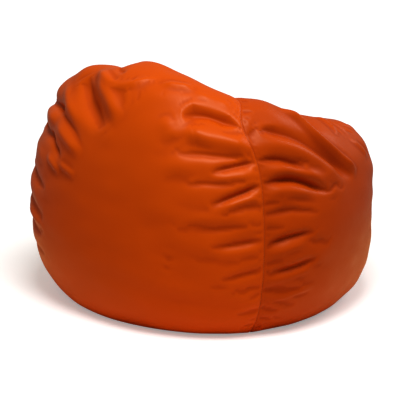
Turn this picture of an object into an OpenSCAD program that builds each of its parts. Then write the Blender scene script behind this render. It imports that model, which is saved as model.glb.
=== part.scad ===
// Bean bag chair: a slumped round bag with a high back, a low front lobe and a seat hollow.
// A leather-look cover of three gores, a top cap and a split base with a zip holds a thin
// liner of the same cut with its own zip, and the liner holds the beads.
// Millimetres, +Z up, the sitter faces -Y. The origin is on the floor, at the middle of the
// bag's outline. Azimuths run from the front (-Y), anticlockwise seen from above.

/* [Rim] */
// Height of the rim's crest at the front
rim_h_front = 485; // [420:5:600]
// Height of the crest 60 degrees round from the front, on either side
rim_h_front_side = 540; // [470:5:660]
// Height of the crest 120 degrees round, at the shoulders of the back
rim_h_back_side = 655; // [570:5:800]
// Height of the crest at the back
rim_h_back = 730; // [620:5:880]
// Distance of the crest from the bag's axis at the front
rim_r_front = 410; // [330:5:430]
// Distance of the crest from the axis 60 degrees round
rim_r_front_side = 370; // [320:5:430]
// Distance of the crest from the axis 120 degrees round
rim_r_back_side = 285; // [230:5:330]
// Distance of the crest from the axis at the back
rim_r_back = 215; // [170:5:260]
// Height of the lowest point of the seat hollow
seat_h = 350; // [300:5:400]

/* [Girth] */
// Distance of the bag's widest point from its axis at the front
reach_front = 555; // [470:5:640]
// Widest point 60 degrees round
reach_front_side = 520; // [470:5:640]
// Widest point 120 degrees round
reach_back_side = 495; // [420:5:570]
// Widest point at the back
reach_back = 435; // [380:5:510]
// Height of the widest point at the front
waist_h_front = 300; // [250:5:340]
// Height of the widest point at the back
waist_h_back = 235; // [180:5:270]
// Roundness of the belly below the widest point, 2 being an ellipse and more being squarer
belly_fullness = 2.0; // [1.7:0.05:2.6]
// Roundness of the shoulder above the widest point
shoulder_fullness = 2.1; // [1.7:0.05:2.6]

/* [Foot] */
// Radius of the flat foot at the front
foot_front = 440; // [380:5:480]
// Radius of the foot 60 degrees round
foot_front_side = 420; // [360:5:460]
// Radius of the foot 120 degrees round
foot_back_side = 380; // [330:5:430]
// Radius of the foot at the back
foot_back = 350; // [300:5:390]

/* [Cover] */
// Thickness of the leather-look fabric
leather_t = 1.2; // [0.8:0.1:1.6]
// Width of the fabric that is turned in beside each seam
allowance_w = 10; // [6:1:16]
// Gap between two panels at a seam, which the thread fills
seam_gap = 1.0; // [0.8:0.1:1.4]
// Diameter of the upholstery thread
thread_d = 0.8; // [0.4:0.1:0.8]
// Radius of the round cap where the three gores meet
cap_r = 70; // [50:5:100]

/* [Liner] */
// Thickness of the liner's polyester fabric
liner_t = 0.4; // [0.3:0.1:0.8]
// Air between the cover's turned-in seams and the liner
liner_gap = 0.6; // [0.5:0.1:2]
// Gap between two liner panels at a seam
liner_seam_gap = 0.6; // [0.5:0.1:1]
// Diameter of the liner's thread
liner_thread_d = 0.4; // [0.3:0.1:0.4]
// Air between the liner and the beads
fill_gap = 0.6; // [0.5:0.1:2]

/* [Zips] */
// Length of each zip's coil
zip_len = 560; // [300:10:580]
// Width of one tape
tape_w = 16; // [13:1:20]
// Thickness of the tape
tape_t = 0.6; // [0.4:0.1:0.9]
// Length of tape past each end of the coil
tape_tail = 14; // [8:1:20]
// Width of one coil
coil_w = 2.6; // [2:0.1:3.2]
// Height of the coil below the tape
coil_h = 2.4; // [1.8:0.1:3]
// Length of the slider
slider_l = 12; // [9:1:16]
// Thickness of the slider's plates and flanges
slider_t = 0.9; // [0.7:0.1:1.2]
// Running clearance round the coils inside the slider
slider_gap = 0.3; // [0.25:0.05:0.5]
// Width of the slider's dividing post, which runs between the coils
post_w = 0.9; // [0.6:0.1:1.2]
// Height of the recess that keeps the zip off the floor
recess_h = 7; // [6:0.5:10]
// Width of the flat lip beside the zip
lip_w = 28; // [22:1:40]

/* [Label] */
// Length of the blank care label along the zip
label_l = 45; // [30:5:60]
// Width of the label
label_w = 18; // [12:1:19]

/* [Hidden] */

leather = "#c4480f";
leather_dark = "#8c2f08";
thread_colour = "#d2551a";
liner_white = "#e9e6df";
tape_colour = "#a63a0c";
nylon = "#4a2a1c";
metal = "#b8b8bc";
bead_white = "#fbfbf8";

gore_span = 120;         // three gores go round the bag
gore_steps = 20;         // facets across a gore
row_rise = 105;          // most height of the bag for each row of facets up the belly
cap_rows = 2;            // rings of facets in the cap
thread_sides = 6;        // sides of a thread's tube
allowance_ramp = 2;      // how far the turned-in fabric takes to thin out
slope_step = 0.01;       // step that the surface's slopes are measured over
lip_ramp = 12;           // run of the slope from the foot up to the lip
window_margin = 1.8;     // air between the slider and the lips beside it
post_l = 3;              // length of the slider's dividing post
bridge_h = 1.4;          // height of the bridge on the slider
bridge_l = 6;            // length of the bridge
bridge_w = 2;            // width of the bridge
stop_l = 3;              // length of an end stop
end_clear = 1;           // air between the slider and an end stop
stitch_inset = 4;        // distance of the topstitching from the lip's edge
label_t = 0.3;           // thickness of the folded label
label_x = 150;           // middle of the label along the zip
zip_clear = 1;           // air above the cover's slider, under the liner's slider
channel_clear = 6;       // air beside the liner's recess, in the beads

stretch_rows = ceil(rim_h_back / row_rise);
liner_depth = 2 * leather_t + liner_gap;
fill_depth = liner_depth + liner_t + fill_gap;
coil_y = post_w / 2 + slider_gap + 0.05;
slider_half = coil_y + coil_w + slider_gap + slider_t;
window_y = slider_half + window_margin;
zip_travel = zip_len - slider_l - 2 * end_clear;
below_tape = coil_h + slider_gap + slider_t + bridge_h;
above_tape = tape_t + slider_gap + slider_t;
cover_tape_z = recess_h + leather_t;
liner_tape_z = cover_tape_z + above_tape + zip_clear + below_tape;
liner_lip_z = liner_tape_z - liner_t;
liner_lip_w = lip_w + 4;
channel_y = window_y + liner_lip_w + lip_ramp + channel_clear;
channel_z = liner_tape_z + above_tape + fill_gap;

// A value that runs smoothly round the bag through its values at 0, 60, 120 and 180 degrees.
function around(v, a) =
    let (half = [v[0] / 2, v[1], v[2], v[3] / 2])
    let (wave = [for (k = [0:3]) half * [for (i = [0:3]) cos(60 * i * k)]])
    (wave[0] + 2 * wave[1] * cos(a) + 2 * wave[2] * cos(2 * a) + wave[3] * cos(3 * a)) / 3;
// A value that swings from the front's to the back's.
function front_to_back(front, back, a) = front + (back - front) * (1 - cos(a)) / 2;

function rim_h(a) = around([rim_h_front, rim_h_front_side, rim_h_back_side, rim_h_back], a);
function rim_r(a) = around([rim_r_front, rim_r_front_side, rim_r_back_side, rim_r_back], a);
function reach(a) = around([reach_front, reach_front_side, reach_back_side, reach_back], a);
function foot(a) = around([foot_front, foot_front_side, foot_back_side, foot_back], a);
function waist_h(a) = front_to_back(waist_h_front, waist_h_back, a);

// Radius and height of the outside at azimuth a. s runs 0 to 1 up the belly, to 2 over the
// shoulder and to 3 down into the middle of the hollow.
function out_r(a, s) =
    s <= 1 ? foot(a) + (reach(a) - foot(a)) * pow(sin(90 * s), 2 / belly_fullness)
    : s <= 2 ? rim_r(a) + (reach(a) - rim_r(a)) * pow(cos(90 * (s - 1)), 2 / shoulder_fullness)
    : rim_r(a) * (3 - s);
function out_z(a, s) =
    s <= 1 ? waist_h(a) * (1 - pow(cos(90 * s), 2 / belly_fullness))
    : s <= 2 ? waist_h(a) + (rim_h(a) - waist_h(a)) * pow(sin(90 * (s - 1)), 2 / shoulder_fullness)
    : seat_h + (rim_h(a) - seat_h) * (1 + cos(180 * (s - 2))) / 2;
function outside(a, s) = [out_r(a, s) * sin(a), -out_r(a, s) * cos(a), out_z(a, s)];
function unit(v) = v / norm(v);
function slope_up(a, s) =
    outside(a, min(s + slope_step, 3)) - outside(a, max(s - slope_step, 0));
function normal(a, s) =
    unit(cross(outside(a + 1, s) - outside(a - 1, s), slope_up(a, s)));
// A point at a depth below the outside. At the middle of the hollow it goes straight down.
function skin(a, s, depth) =
    s > 2.999 ? outside(a, 3) - [0, 0, depth] : outside(a, s) - depth * normal(a, s);

// Where a row of facets lies, the last one being a gore's top edge beside the cap.
function cap_edge(a, r) = 3 - r / rim_r(a);
function row_s(j, a, edge_r) =
    j <= 2 * stretch_rows ? j / stretch_rows
    : 2 + (j / stretch_rows - 2) * (cap_edge(a, edge_r) - 2);
rows = 3 * stretch_rows;
ring_steps = 3 * gore_steps;
function ring_a(i) = i * 360 / ring_steps;

// The bag's own axis, set back so that the origin is at the middle of its outline.
outline_y = [for (i = [0:ring_steps - 1], s = [0.6:0.05:1.6]) outside(ring_a(i), s).y];
axis_y = -(max(outline_y) + min(outline_y)) / 2;
module placed() { translate([0, axis_y, 0]) children(); }

// ---------------------------------------------------------------- closed solids from grids

function quad(a, b, c, d) = [[a, b, c], [a, c, d]];
function joined(lists) = [for (l = lists) each l];

// A sheet with thickness. outer and inner are grids of points, columns of rows.
module slab(outer, inner) {
    nc = len(outer);
    nr = len(outer[0]);
    o = function (i, j) i * nr + j;
    n = function (i, j) nc * nr + i * nr + j;
    polyhedron(
        points = concat(joined(outer), joined(inner)),
        faces = joined(concat(
            [for (i = [0:nc - 2], j = [0:nr - 2])
                quad(o(i, j), o(i, j + 1), o(i + 1, j + 1), o(i + 1, j))],
            [for (i = [0:nc - 2], j = [0:nr - 2])
                quad(n(i, j), n(i + 1, j), n(i + 1, j + 1), n(i, j + 1))],
            [for (i = [0:nc - 2]) quad(o(i, 0), o(i + 1, 0), n(i + 1, 0), n(i, 0))],
            [for (i = [0:nc - 2])
                quad(o(i, nr - 1), n(i, nr - 1), n(i + 1, nr - 1), o(i + 1, nr - 1))],
            [for (j = [0:nr - 2]) quad(o(0, j), n(0, j), n(0, j + 1), o(0, j + 1))],
            [for (j = [0:nr - 2])
                quad(o(nc - 1, j), o(nc - 1, j + 1), n(nc - 1, j + 1), n(nc - 1, j))])));
}

// Faces of a stack of rings that closes over an apex. first is the first point's number.
function dome_faces(rings, steps, first, apex) = joined(concat(
    [for (j = [0:rings - 2], i = [0:steps - 1])
        let (k = (i + 1) % steps, low = first + j * steps, high = low + steps)
        quad(low + i, high + i, high + k, low + k)],
    [for (i = [0:steps - 1])
        let (low = first + (rings - 1) * steps)
        [[low + i, apex, low + (i + 1) % steps]]]));
function flipped(faces) = [for (f = faces) [f[0], f[2], f[1]]];

// A round sheet with thickness, from rings of points and the two points at its middle.
module round_slab(outer, outer_mid, inner, inner_mid) {
    steps = len(outer[0]);
    rings = len(outer);
    count = rings * steps;
    polyhedron(
        points = concat(joined(outer), [outer_mid], joined(inner), [inner_mid]),
        faces = concat(
            dome_faces(rings, steps, 0, count),
            flipped(dome_faces(rings, steps, count + 1, 2 * count + 1)),
            joined([for (i = [0:steps - 1])
                let (k = (i + 1) % steps, in = count + 1)
                quad(i, k, in + k, in + i)])));
}

// A solid of stacked rings with a flat bottom and a point at its top.
module mound(rings, top) {
    steps = len(rings[0]);
    polyhedron(
        points = concat(joined(rings), [top]),
        faces = concat(
            dome_faces(len(rings), steps, 0, len(rings) * steps),
            [[for (i = [0:steps - 1]) i]]));
}

// A round tube along a path, each ring square to the way the path runs there.
module tube(path, d, closed = false) {
    n = len(path);
    at = function (i) closed ? path[(i + n) % n] : path[max(0, min(n - 1, i))];
    way = function (i) unit(at(i + 1) - at(i - 1));
    side = function (i) unit(cross(way(i), [path[i].x, path[i].y, 0.7 * norm(path[i])]));
    ring = function (i) [for (k = [0:thread_sides - 1])
        let (t = 360 * k / thread_sides)
        path[i] + d / 2 * (cos(t) * side(i) + sin(t) * cross(side(i), way(i)))];
    links = closed ? n : n - 1;
    polyhedron(
        points = joined([for (i = [0:n - 1]) ring(i)]),
        faces = joined(concat(
            [for (i = [0:links - 1], k = [0:thread_sides - 1])
                let (m = (k + 1) % thread_sides, low = i * thread_sides)
                let (high = ((i + 1) % n) * thread_sides)
                quad(low + k, low + m, high + m, high + k)],
            closed ? [] : [
                [[for (k = [thread_sides - 1:-1:0]) k]],
                [[for (k = [0:thread_sides - 1]) (n - 1) * thread_sides + k]]])));
}

// ---------------------------------------------------------------- sewn pieces

// Azimuth at a distance along the surface from a seam's azimuth.
function beside(seam, mm, s) = seam + mm / out_r(seam, s) * 180 / PI;

// Columns across a gore as [azimuth, thickness]. Beside each seam the fabric may be doubled,
// and then the columns between are spread evenly over what is left.
function gore_columns(seam, s, gap, t, doubled) =
    let (far = seam + gore_span, turned = gap / 2 + allowance_w, single = turned + allowance_ramp)
    let (first = doubled ? beside(seam, single, s) : seam)
    let (last = doubled ? beside(far, -single, s) : far)
    concat(
        [[beside(seam, gap / 2, s), doubled ? 2 * t : t]],
        doubled ? [[beside(seam, turned, s), 2 * t], [first, t]] : [],
        [for (i = [1:gore_steps - 1]) [first + (last - first) * i / gore_steps, t]],
        doubled ? [[last, t], [beside(far, -turned, s), 2 * t]] : [],
        [[beside(far, -gap / 2, s), doubled ? 2 * t : t]]);
// The azimuths of all three gores' columns, so that what meets them follows their facets.
function all_columns(s, gap, doubled) =
    [for (seam = [0, 120, 240], c = gore_columns(seam, s, gap, 1, doubled)) c[0]];

// One gore, from the foot's edge to the cap's edge. seam is the azimuth of its first seam.
module gore(seam, depth, t, gap, doubled) {
    column_count = len(gore_columns(seam, 1, gap, t, doubled));
    grid = function (inner) [for (c = [0:column_count - 1]) [for (j = [0:rows])
        let (s_there = row_s(j, seam, cap_r + gap / 2))
        let (column = gore_columns(seam, s_there, gap, t, doubled)[c])
        let (s = row_s(j, column[0], cap_r + gap / 2))
        skin(column[0], s, depth + (inner ? column[1] : 0))]];
    placed() slab(grid(false), grid(true));
}

// The round cap in the middle of the hollow.
module cap(depth, t, gap, doubled) {
    columns = all_columns(row_s(rows, 0, cap_r), gap, doubled);
    ring = function (j, d) [for (a = columns)
        let (edge = cap_edge(a, cap_r - gap / 2))
        skin(a, edge + (3 - edge) * j / cap_rows, d)];
    rings = function (d) [for (j = [0:cap_rows - 1]) ring(j, d)];
    placed() round_slab(rings(depth), skin(0, 3, depth), rings(depth + t), skin(0, 3, depth + t));
}

function seam_path(seam, depth, gap) =
    [for (j = [0:rows]) skin(seam, row_s(j, seam, cap_r + gap / 2), depth)];
function cap_path(depth, gap, doubled) =
    [for (a = all_columns(row_s(rows, 0, cap_r), gap, doubled)) skin(a, cap_edge(a, cap_r), depth)];
function foot_path(inset, z, gap, doubled) =
    [for (a = all_columns(0, gap, doubled)) let (r = foot(a) - inset)
        [r * sin(a), -r * cos(a), z]];

// Section of one base half: flat on the floor, then up a slope to the lip beside the zip.
module base_section(floor_z, lip_z, lip, t, gap) {
    slope_y = window_y + lip;
    far = reach_front + reach_back;
    polygon([
        [far, floor_z], [slope_y + lip_ramp, floor_z], [slope_y, lip_z], [gap / 2, lip_z],
        [gap / 2, lip_z + t], [slope_y + t / 2, lip_z + t],
        [slope_y + lip_ramp + t / 2, floor_z + t], [far, floor_z + t]]);
}

// One half of a base, with half of the window that the zip closes.
module base_half(side, floor_z, lip_z, lip, t, gap, doubled) {
    placed() difference() {
        intersection() {
            linear_extrude(lip_z + t)
                polygon([for (p = foot_path(gap, 0, gap, doubled)) [p.x, p.y]]);
            rotate([90, 0, 90])
                linear_extrude(4 * reach_front, center = true)
                    scale([side, 1]) base_section(floor_z, lip_z, lip, t, gap);
        }
        translate([0, 0, lip_z])
            cube([zip_len + 2 * stop_l + 2 * end_clear, 2 * window_y, 4 * t], center = true);
    }
}

// ---------------------------------------------------------------- zip, tape's underside at z 0

module zip_tape(side) {
    translate([-zip_len / 2 - tape_tail, side > 0 ? coil_y : -coil_y - tape_w, 0])
        cube([zip_len + 2 * tape_tail, tape_w, tape_t]);
}

module zip_coil(side) {
    round_r = coil_h / 2;
    rotate([90, 0, 90]) linear_extrude(zip_len, center = true) scale([side, 1]) {
        translate([coil_y, -coil_h]) square([coil_w - round_r, coil_h]);
        translate([coil_y + coil_w - round_r, -round_r]) circle(round_r, $fn = 32);
    }
}

module rounded_plate(l, w, t, r) {
    linear_extrude(t) {
        square([l - 2 * r, w], center = true);
        square([l, w - 2 * r], center = true);
        for (x = [-1, 1], y = [-1, 1])
            translate([x * (l / 2 - r), y * (w / 2 - r)]) circle(r, $fn = 32);
    }
}

// A lockable slider with a bridge and no pull tab. It starts at the zip's closed end.
module zip_slider() {
    w = 2 * slider_half;
    plate_low = -coil_h - slider_gap - slider_t;
    flange_h = coil_h + slider_t - 0.1;
    translate([-zip_travel / 2, 0, 0]) union() {
        translate([0, 0, plate_low]) rounded_plate(slider_l, w, slider_t, 1.5);
        translate([0, 0, tape_t + slider_gap]) rounded_plate(slider_l, w, slider_t, 1.5);
        for (side = [-1, 1])
            translate([0, side * (slider_half - slider_t / 2), plate_low + flange_h / 2])
                cube([slider_l - 3.2, slider_t, flange_h], center = true);
        translate([slider_l / 2 - post_l - 1, -post_w / 2, plate_low + slider_t / 2])
            cube([post_l, post_w, tape_t + slider_gap - plate_low]);
        translate([0, 0, plate_low]) zip_bridge();
    }
}

// The lock's bridge under the slider, open below for the key that frees the lock.
module zip_bridge() {
    mirror([0, 0, 1]) difference() {
        translate([-bridge_l / 2, -bridge_w / 2, -slider_t / 2])
            cube([bridge_l, bridge_w, bridge_h + slider_t / 2]);
        translate([0, 0, bridge_h / 3])
            rotate([90, 0, 0]) cylinder(d = 0.9, h = 2 * bridge_w, center = true, $fn = 32);
    }
}

module zip_stops() {
    for (end = [-1, 1])
        translate([end * (zip_len / 2 + 0.1 + stop_l / 2), 0, -coil_h])
            rounded_plate(stop_l, 2 * (coil_y + coil_w), coil_h, 0.8);
}

// Topstitching that holds a tape to its lip, a straight run of thread under the lip.
module zip_stitch(side, d, lip_t) {
    translate([0, side * (window_y + stitch_inset), -lip_t - d / 2])
        rotate([0, 90, 0]) cylinder(d = d, h = zip_len + 2 * tape_tail, center = true, $fn = 24);
}

module cover_zip() { placed() translate([0, 0, cover_tape_z]) children(); }
module liner_zip() { placed() translate([0, 0, liner_tape_z]) children(); }

// ---------------------------------------------------------------- cover

module cover_panel_back() { color(leather) gore(120, 0, leather_t, seam_gap, true); }
module cover_panel_left() { color(leather) gore(240, 0, leather_t, seam_gap, true); }
module cover_panel_right() { color(leather) gore(0, 0, leather_t, seam_gap, true); }
module cover_cap() { color(leather) cap(0, leather_t, seam_gap, true); }

module cover_base_front() {
    color(leather_dark) base_half(-1, 0, recess_h, lip_w, leather_t, seam_gap, true);
}
module cover_base_rear() {
    color(leather_dark) base_half(1, 0, recess_h, lip_w, leather_t, seam_gap, true);
}

module seam_thread(seam) {
    color(thread_colour) placed() tube(seam_path(seam, leather_t / 2, seam_gap), thread_d);
}
module seam_thread_left() { seam_thread(240); }
module seam_thread_right() { seam_thread(120); }
module seam_thread_front() { seam_thread(0); }
module cap_thread() {
    color(thread_colour) placed() tube(cap_path(leather_t / 2, seam_gap, true), thread_d, closed = true);
}
module base_ring_thread() {
    color(thread_colour) placed()
        tube(foot_path(seam_gap / 2, leather_t / 2, seam_gap, true), thread_d, closed = true);
}
// The seam that joins the base halves past each end of the zip.
module base_join_thread() {
    from = zip_len / 2 + stop_l + end_clear;
    color(thread_colour) placed() for (end = [-1, 1]) {
        to = foot(90) - 3 * seam_gap;
        translate([end * (from + to) / 2, 0, recess_h + leather_t / 2])
            rotate([0, 90, 0]) cylinder(d = thread_d, h = to - from, center = true, $fn = 24);
    }
}

module cover_zip_tape_front() { color(tape_colour) cover_zip() zip_tape(-1); }
module cover_zip_tape_rear() { color(tape_colour) cover_zip() zip_tape(1); }
module cover_zip_coil_front() { color(nylon) cover_zip() zip_coil(-1); }
module cover_zip_coil_rear() { color(nylon) cover_zip() zip_coil(1); }
module cover_zip_slider() { color(metal) cover_zip() zip_slider(); }
module cover_zip_stops() { color(metal) cover_zip() zip_stops(); }
module cover_zip_stitch_front() {
    color(thread_colour) cover_zip() zip_stitch(-1, thread_d, leather_t);
}
module cover_zip_stitch_rear() {
    color(thread_colour) cover_zip() zip_stitch(1, thread_d, leather_t);
}

// The blank label hangs flat under the front lip, between the topstitching and the slope.
module care_label() {
    near = window_y + stitch_inset + thread_d;
    color(liner_white) placed()
        translate([label_x - label_l / 2, -near - label_w, recess_h - label_t])
            cube([label_l, label_w, label_t]);
}

// ---------------------------------------------------------------- liner and beads

module liner_gore(seam) {
    color(liner_white) gore(seam, liner_depth, liner_t, liner_seam_gap, false);
}
module liner_panel_back() { liner_gore(120); }
module liner_panel_left() { liner_gore(240); }
module liner_panel_right() { liner_gore(0); }
module liner_cap() { color(liner_white) cap(liner_depth, liner_t, liner_seam_gap, false); }

module liner_base(side) {
    color(liner_white)
        base_half(side, liner_depth, liner_lip_z, liner_lip_w, liner_t, liner_seam_gap, false);
}
module liner_base_front() { liner_base(-1); }
module liner_base_rear() { liner_base(1); }

module liner_thread() {
    middle = liner_depth + liner_t / 2;
    color(liner_white) placed() {
        for (seam = [0, 120, 240])
            tube(seam_path(seam, middle, liner_seam_gap), liner_thread_d);
        tube(cap_path(middle, liner_seam_gap, false), liner_thread_d, closed = true);
        tube(foot_path(liner_seam_gap / 2, middle, liner_seam_gap, false), liner_thread_d,
            closed = true);
    }
}

module liner_zip_tape_front() { color(liner_white) liner_zip() zip_tape(-1); }
module liner_zip_tape_rear() { color(liner_white) liner_zip() zip_tape(1); }
module liner_zip_coil_front() { color(bead_white) liner_zip() zip_coil(-1); }
module liner_zip_coil_rear() { color(bead_white) liner_zip() zip_coil(1); }
module liner_zip_slider() { color(metal) liner_zip() zip_slider(); }
module liner_zip_stops() { color(metal) liner_zip() zip_stops(); }
module liner_zip_stitch() {
    color(liner_white) liner_zip()
        for (side = [-1, 1]) zip_stitch(side, liner_thread_d, liner_t);
}

// The settled beads fill the liner, and part round the liner's zip in a straight channel.
module bead_fill() {
    body = [for (j = [0:rows]) [for (i = [0:ring_steps - 1])
        skin(ring_a(i), row_s(j, ring_a(i), cap_r), fill_depth)]];
    crown = [for (j = [1:cap_rows - 1]) [for (i = [0:ring_steps - 1])
        let (edge = cap_edge(ring_a(i), cap_r))
        skin(ring_a(i), edge + (3 - edge) * j / cap_rows, fill_depth)]];
    flat_foot = [for (p = body[0]) [p.x, p.y, fill_depth]];
    rings = concat([flat_foot], [for (j = [1:rows]) body[j]], crown);
    color(bead_white) placed() difference() {
        mound(rings, skin(0, 3, fill_depth));
        translate([0, 0, channel_z / 2])
            cube([4 * reach_front, 2 * channel_y, channel_z], center = true);
    }
}

cover_panel_back();
cover_panel_left();
cover_panel_right();
cover_cap();
cover_base_front();
cover_base_rear();
seam_thread_left();
seam_thread_right();
seam_thread_front();
cap_thread();
base_ring_thread();
base_join_thread();
cover_zip_tape_front();
cover_zip_tape_rear();
cover_zip_coil_front();
cover_zip_coil_rear();
cover_zip_slider();
cover_zip_stops();
cover_zip_stitch_front();
cover_zip_stitch_rear();
care_label();
liner_panel_back();
liner_panel_left();
liner_panel_right();
liner_cap();
liner_base_front();
liner_base_rear();
liner_thread();
liner_zip_tape_front();
liner_zip_tape_rear();
liner_zip_coil_front();
liner_zip_coil_rear();
liner_zip_slider();
liner_zip_stops();
liner_zip_stitch();
bead_fill();
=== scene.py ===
"""Bean bag chair: the leather-look cover, its zip, the liner and the beads, dressed around the frame."""

import logging
import math
from dataclasses import dataclass, field, replace
from enum import Enum
from typing import Any, Iterable, Optional, Sequence, Union

import bpy
import numpy as np
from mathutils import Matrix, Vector


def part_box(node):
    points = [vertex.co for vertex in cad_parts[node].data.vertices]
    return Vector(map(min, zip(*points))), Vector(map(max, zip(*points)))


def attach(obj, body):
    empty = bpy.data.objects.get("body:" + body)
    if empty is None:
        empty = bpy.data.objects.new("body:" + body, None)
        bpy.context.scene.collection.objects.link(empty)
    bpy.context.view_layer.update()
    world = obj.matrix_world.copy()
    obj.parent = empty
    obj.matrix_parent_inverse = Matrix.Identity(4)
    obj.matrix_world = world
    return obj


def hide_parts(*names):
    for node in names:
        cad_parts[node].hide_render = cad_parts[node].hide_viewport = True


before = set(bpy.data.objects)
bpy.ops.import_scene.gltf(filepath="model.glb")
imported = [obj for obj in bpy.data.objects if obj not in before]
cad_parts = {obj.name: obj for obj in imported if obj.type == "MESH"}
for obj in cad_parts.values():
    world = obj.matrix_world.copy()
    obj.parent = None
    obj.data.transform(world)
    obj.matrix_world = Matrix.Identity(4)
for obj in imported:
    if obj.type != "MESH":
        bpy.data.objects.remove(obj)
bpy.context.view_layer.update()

LOG = logging.getLogger("bean_bag")
MM = 0.001
BAG = "bag"
GORE_ANGLE = 120.0
OFF_FLOOR = 0.2 * MM
FOOT_FADE = 0.25
DRIFT = -4.0
DRIFT_AT = (240.0, 1.63)
DRIFT_REACH = (14.0, 0.17)
FOLD_REACH = 3.2
CREASE_FALL = 1.5
CREASE_ROUND = 0.3


# ---------------------------------------------------------------- small numeric helpers


def smooth(x: np.ndarray) -> np.ndarray:
    """Ease from 0 to 1 as x goes from 0 to 1, flat at both ends."""
    x = np.clip(x, 0.0, 1.0)
    return x * x * (3.0 - 2.0 * x)


def unit(v: np.ndarray) -> np.ndarray:
    """Vectors scaled to length 1 along their last axis."""
    return v / np.maximum(np.linalg.norm(v, axis=-1, keepdims=True), 1e-12)


def grid_normals(points: np.ndarray, wrap: bool = False) -> np.ndarray:
    """Unit normals of a grid of points.

    Args:
        points: Array of columns, rows and coordinates. Columns run anticlockwise, rows upwards.
        wrap: Whether the last column is followed by the first.

    Returns:
        Normals that point outwards, in the same layout.
    """
    if wrap:
        across = np.roll(points, -1, axis=0) - np.roll(points, 1, axis=0)
    else:
        across = np.gradient(points, axis=0)
    return unit(np.cross(across, np.gradient(points, axis=1)))


def run_length(points: np.ndarray) -> np.ndarray:
    """Distance along a line of points, from its first one."""
    steps = np.linalg.norm(np.diff(points, axis=0), axis=1)
    return np.concatenate([[0.0], np.cumsum(steps)])


def spline(points: np.ndarray, per_span: int) -> np.ndarray:
    """A smooth curve through the points given.

    Args:
        points: The points that the curve passes.
        per_span: Samples between two neighbouring points.

    Returns:
        Samples along the curve, both ends included.
    """
    padded = np.vstack([2 * points[0] - points[1], points, 2 * points[-1] - points[-2]])
    t = np.linspace(0, 1, per_span, endpoint=False)[:, None]
    spans = []
    for a, b, c, d in zip(padded, padded[1:], padded[2:], padded[3:]):
        spans.append(0.5 * (2 * b + (c - a) * t + (2 * a - 5 * b + 4 * c - d) * t**2
                            + (3 * b - a - 3 * c + d) * t**3))
    return np.vstack([*spans, points[-1:]])


def turn_from(seam: float, a: np.ndarray) -> np.ndarray:
    """The shorter way round from a seam to azimuths a, in degrees, negative towards smaller ones."""
    return (a - seam + 180.0) % 360.0 - 180.0


# ---------------------------------------------------------------- the bag's surface


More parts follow.
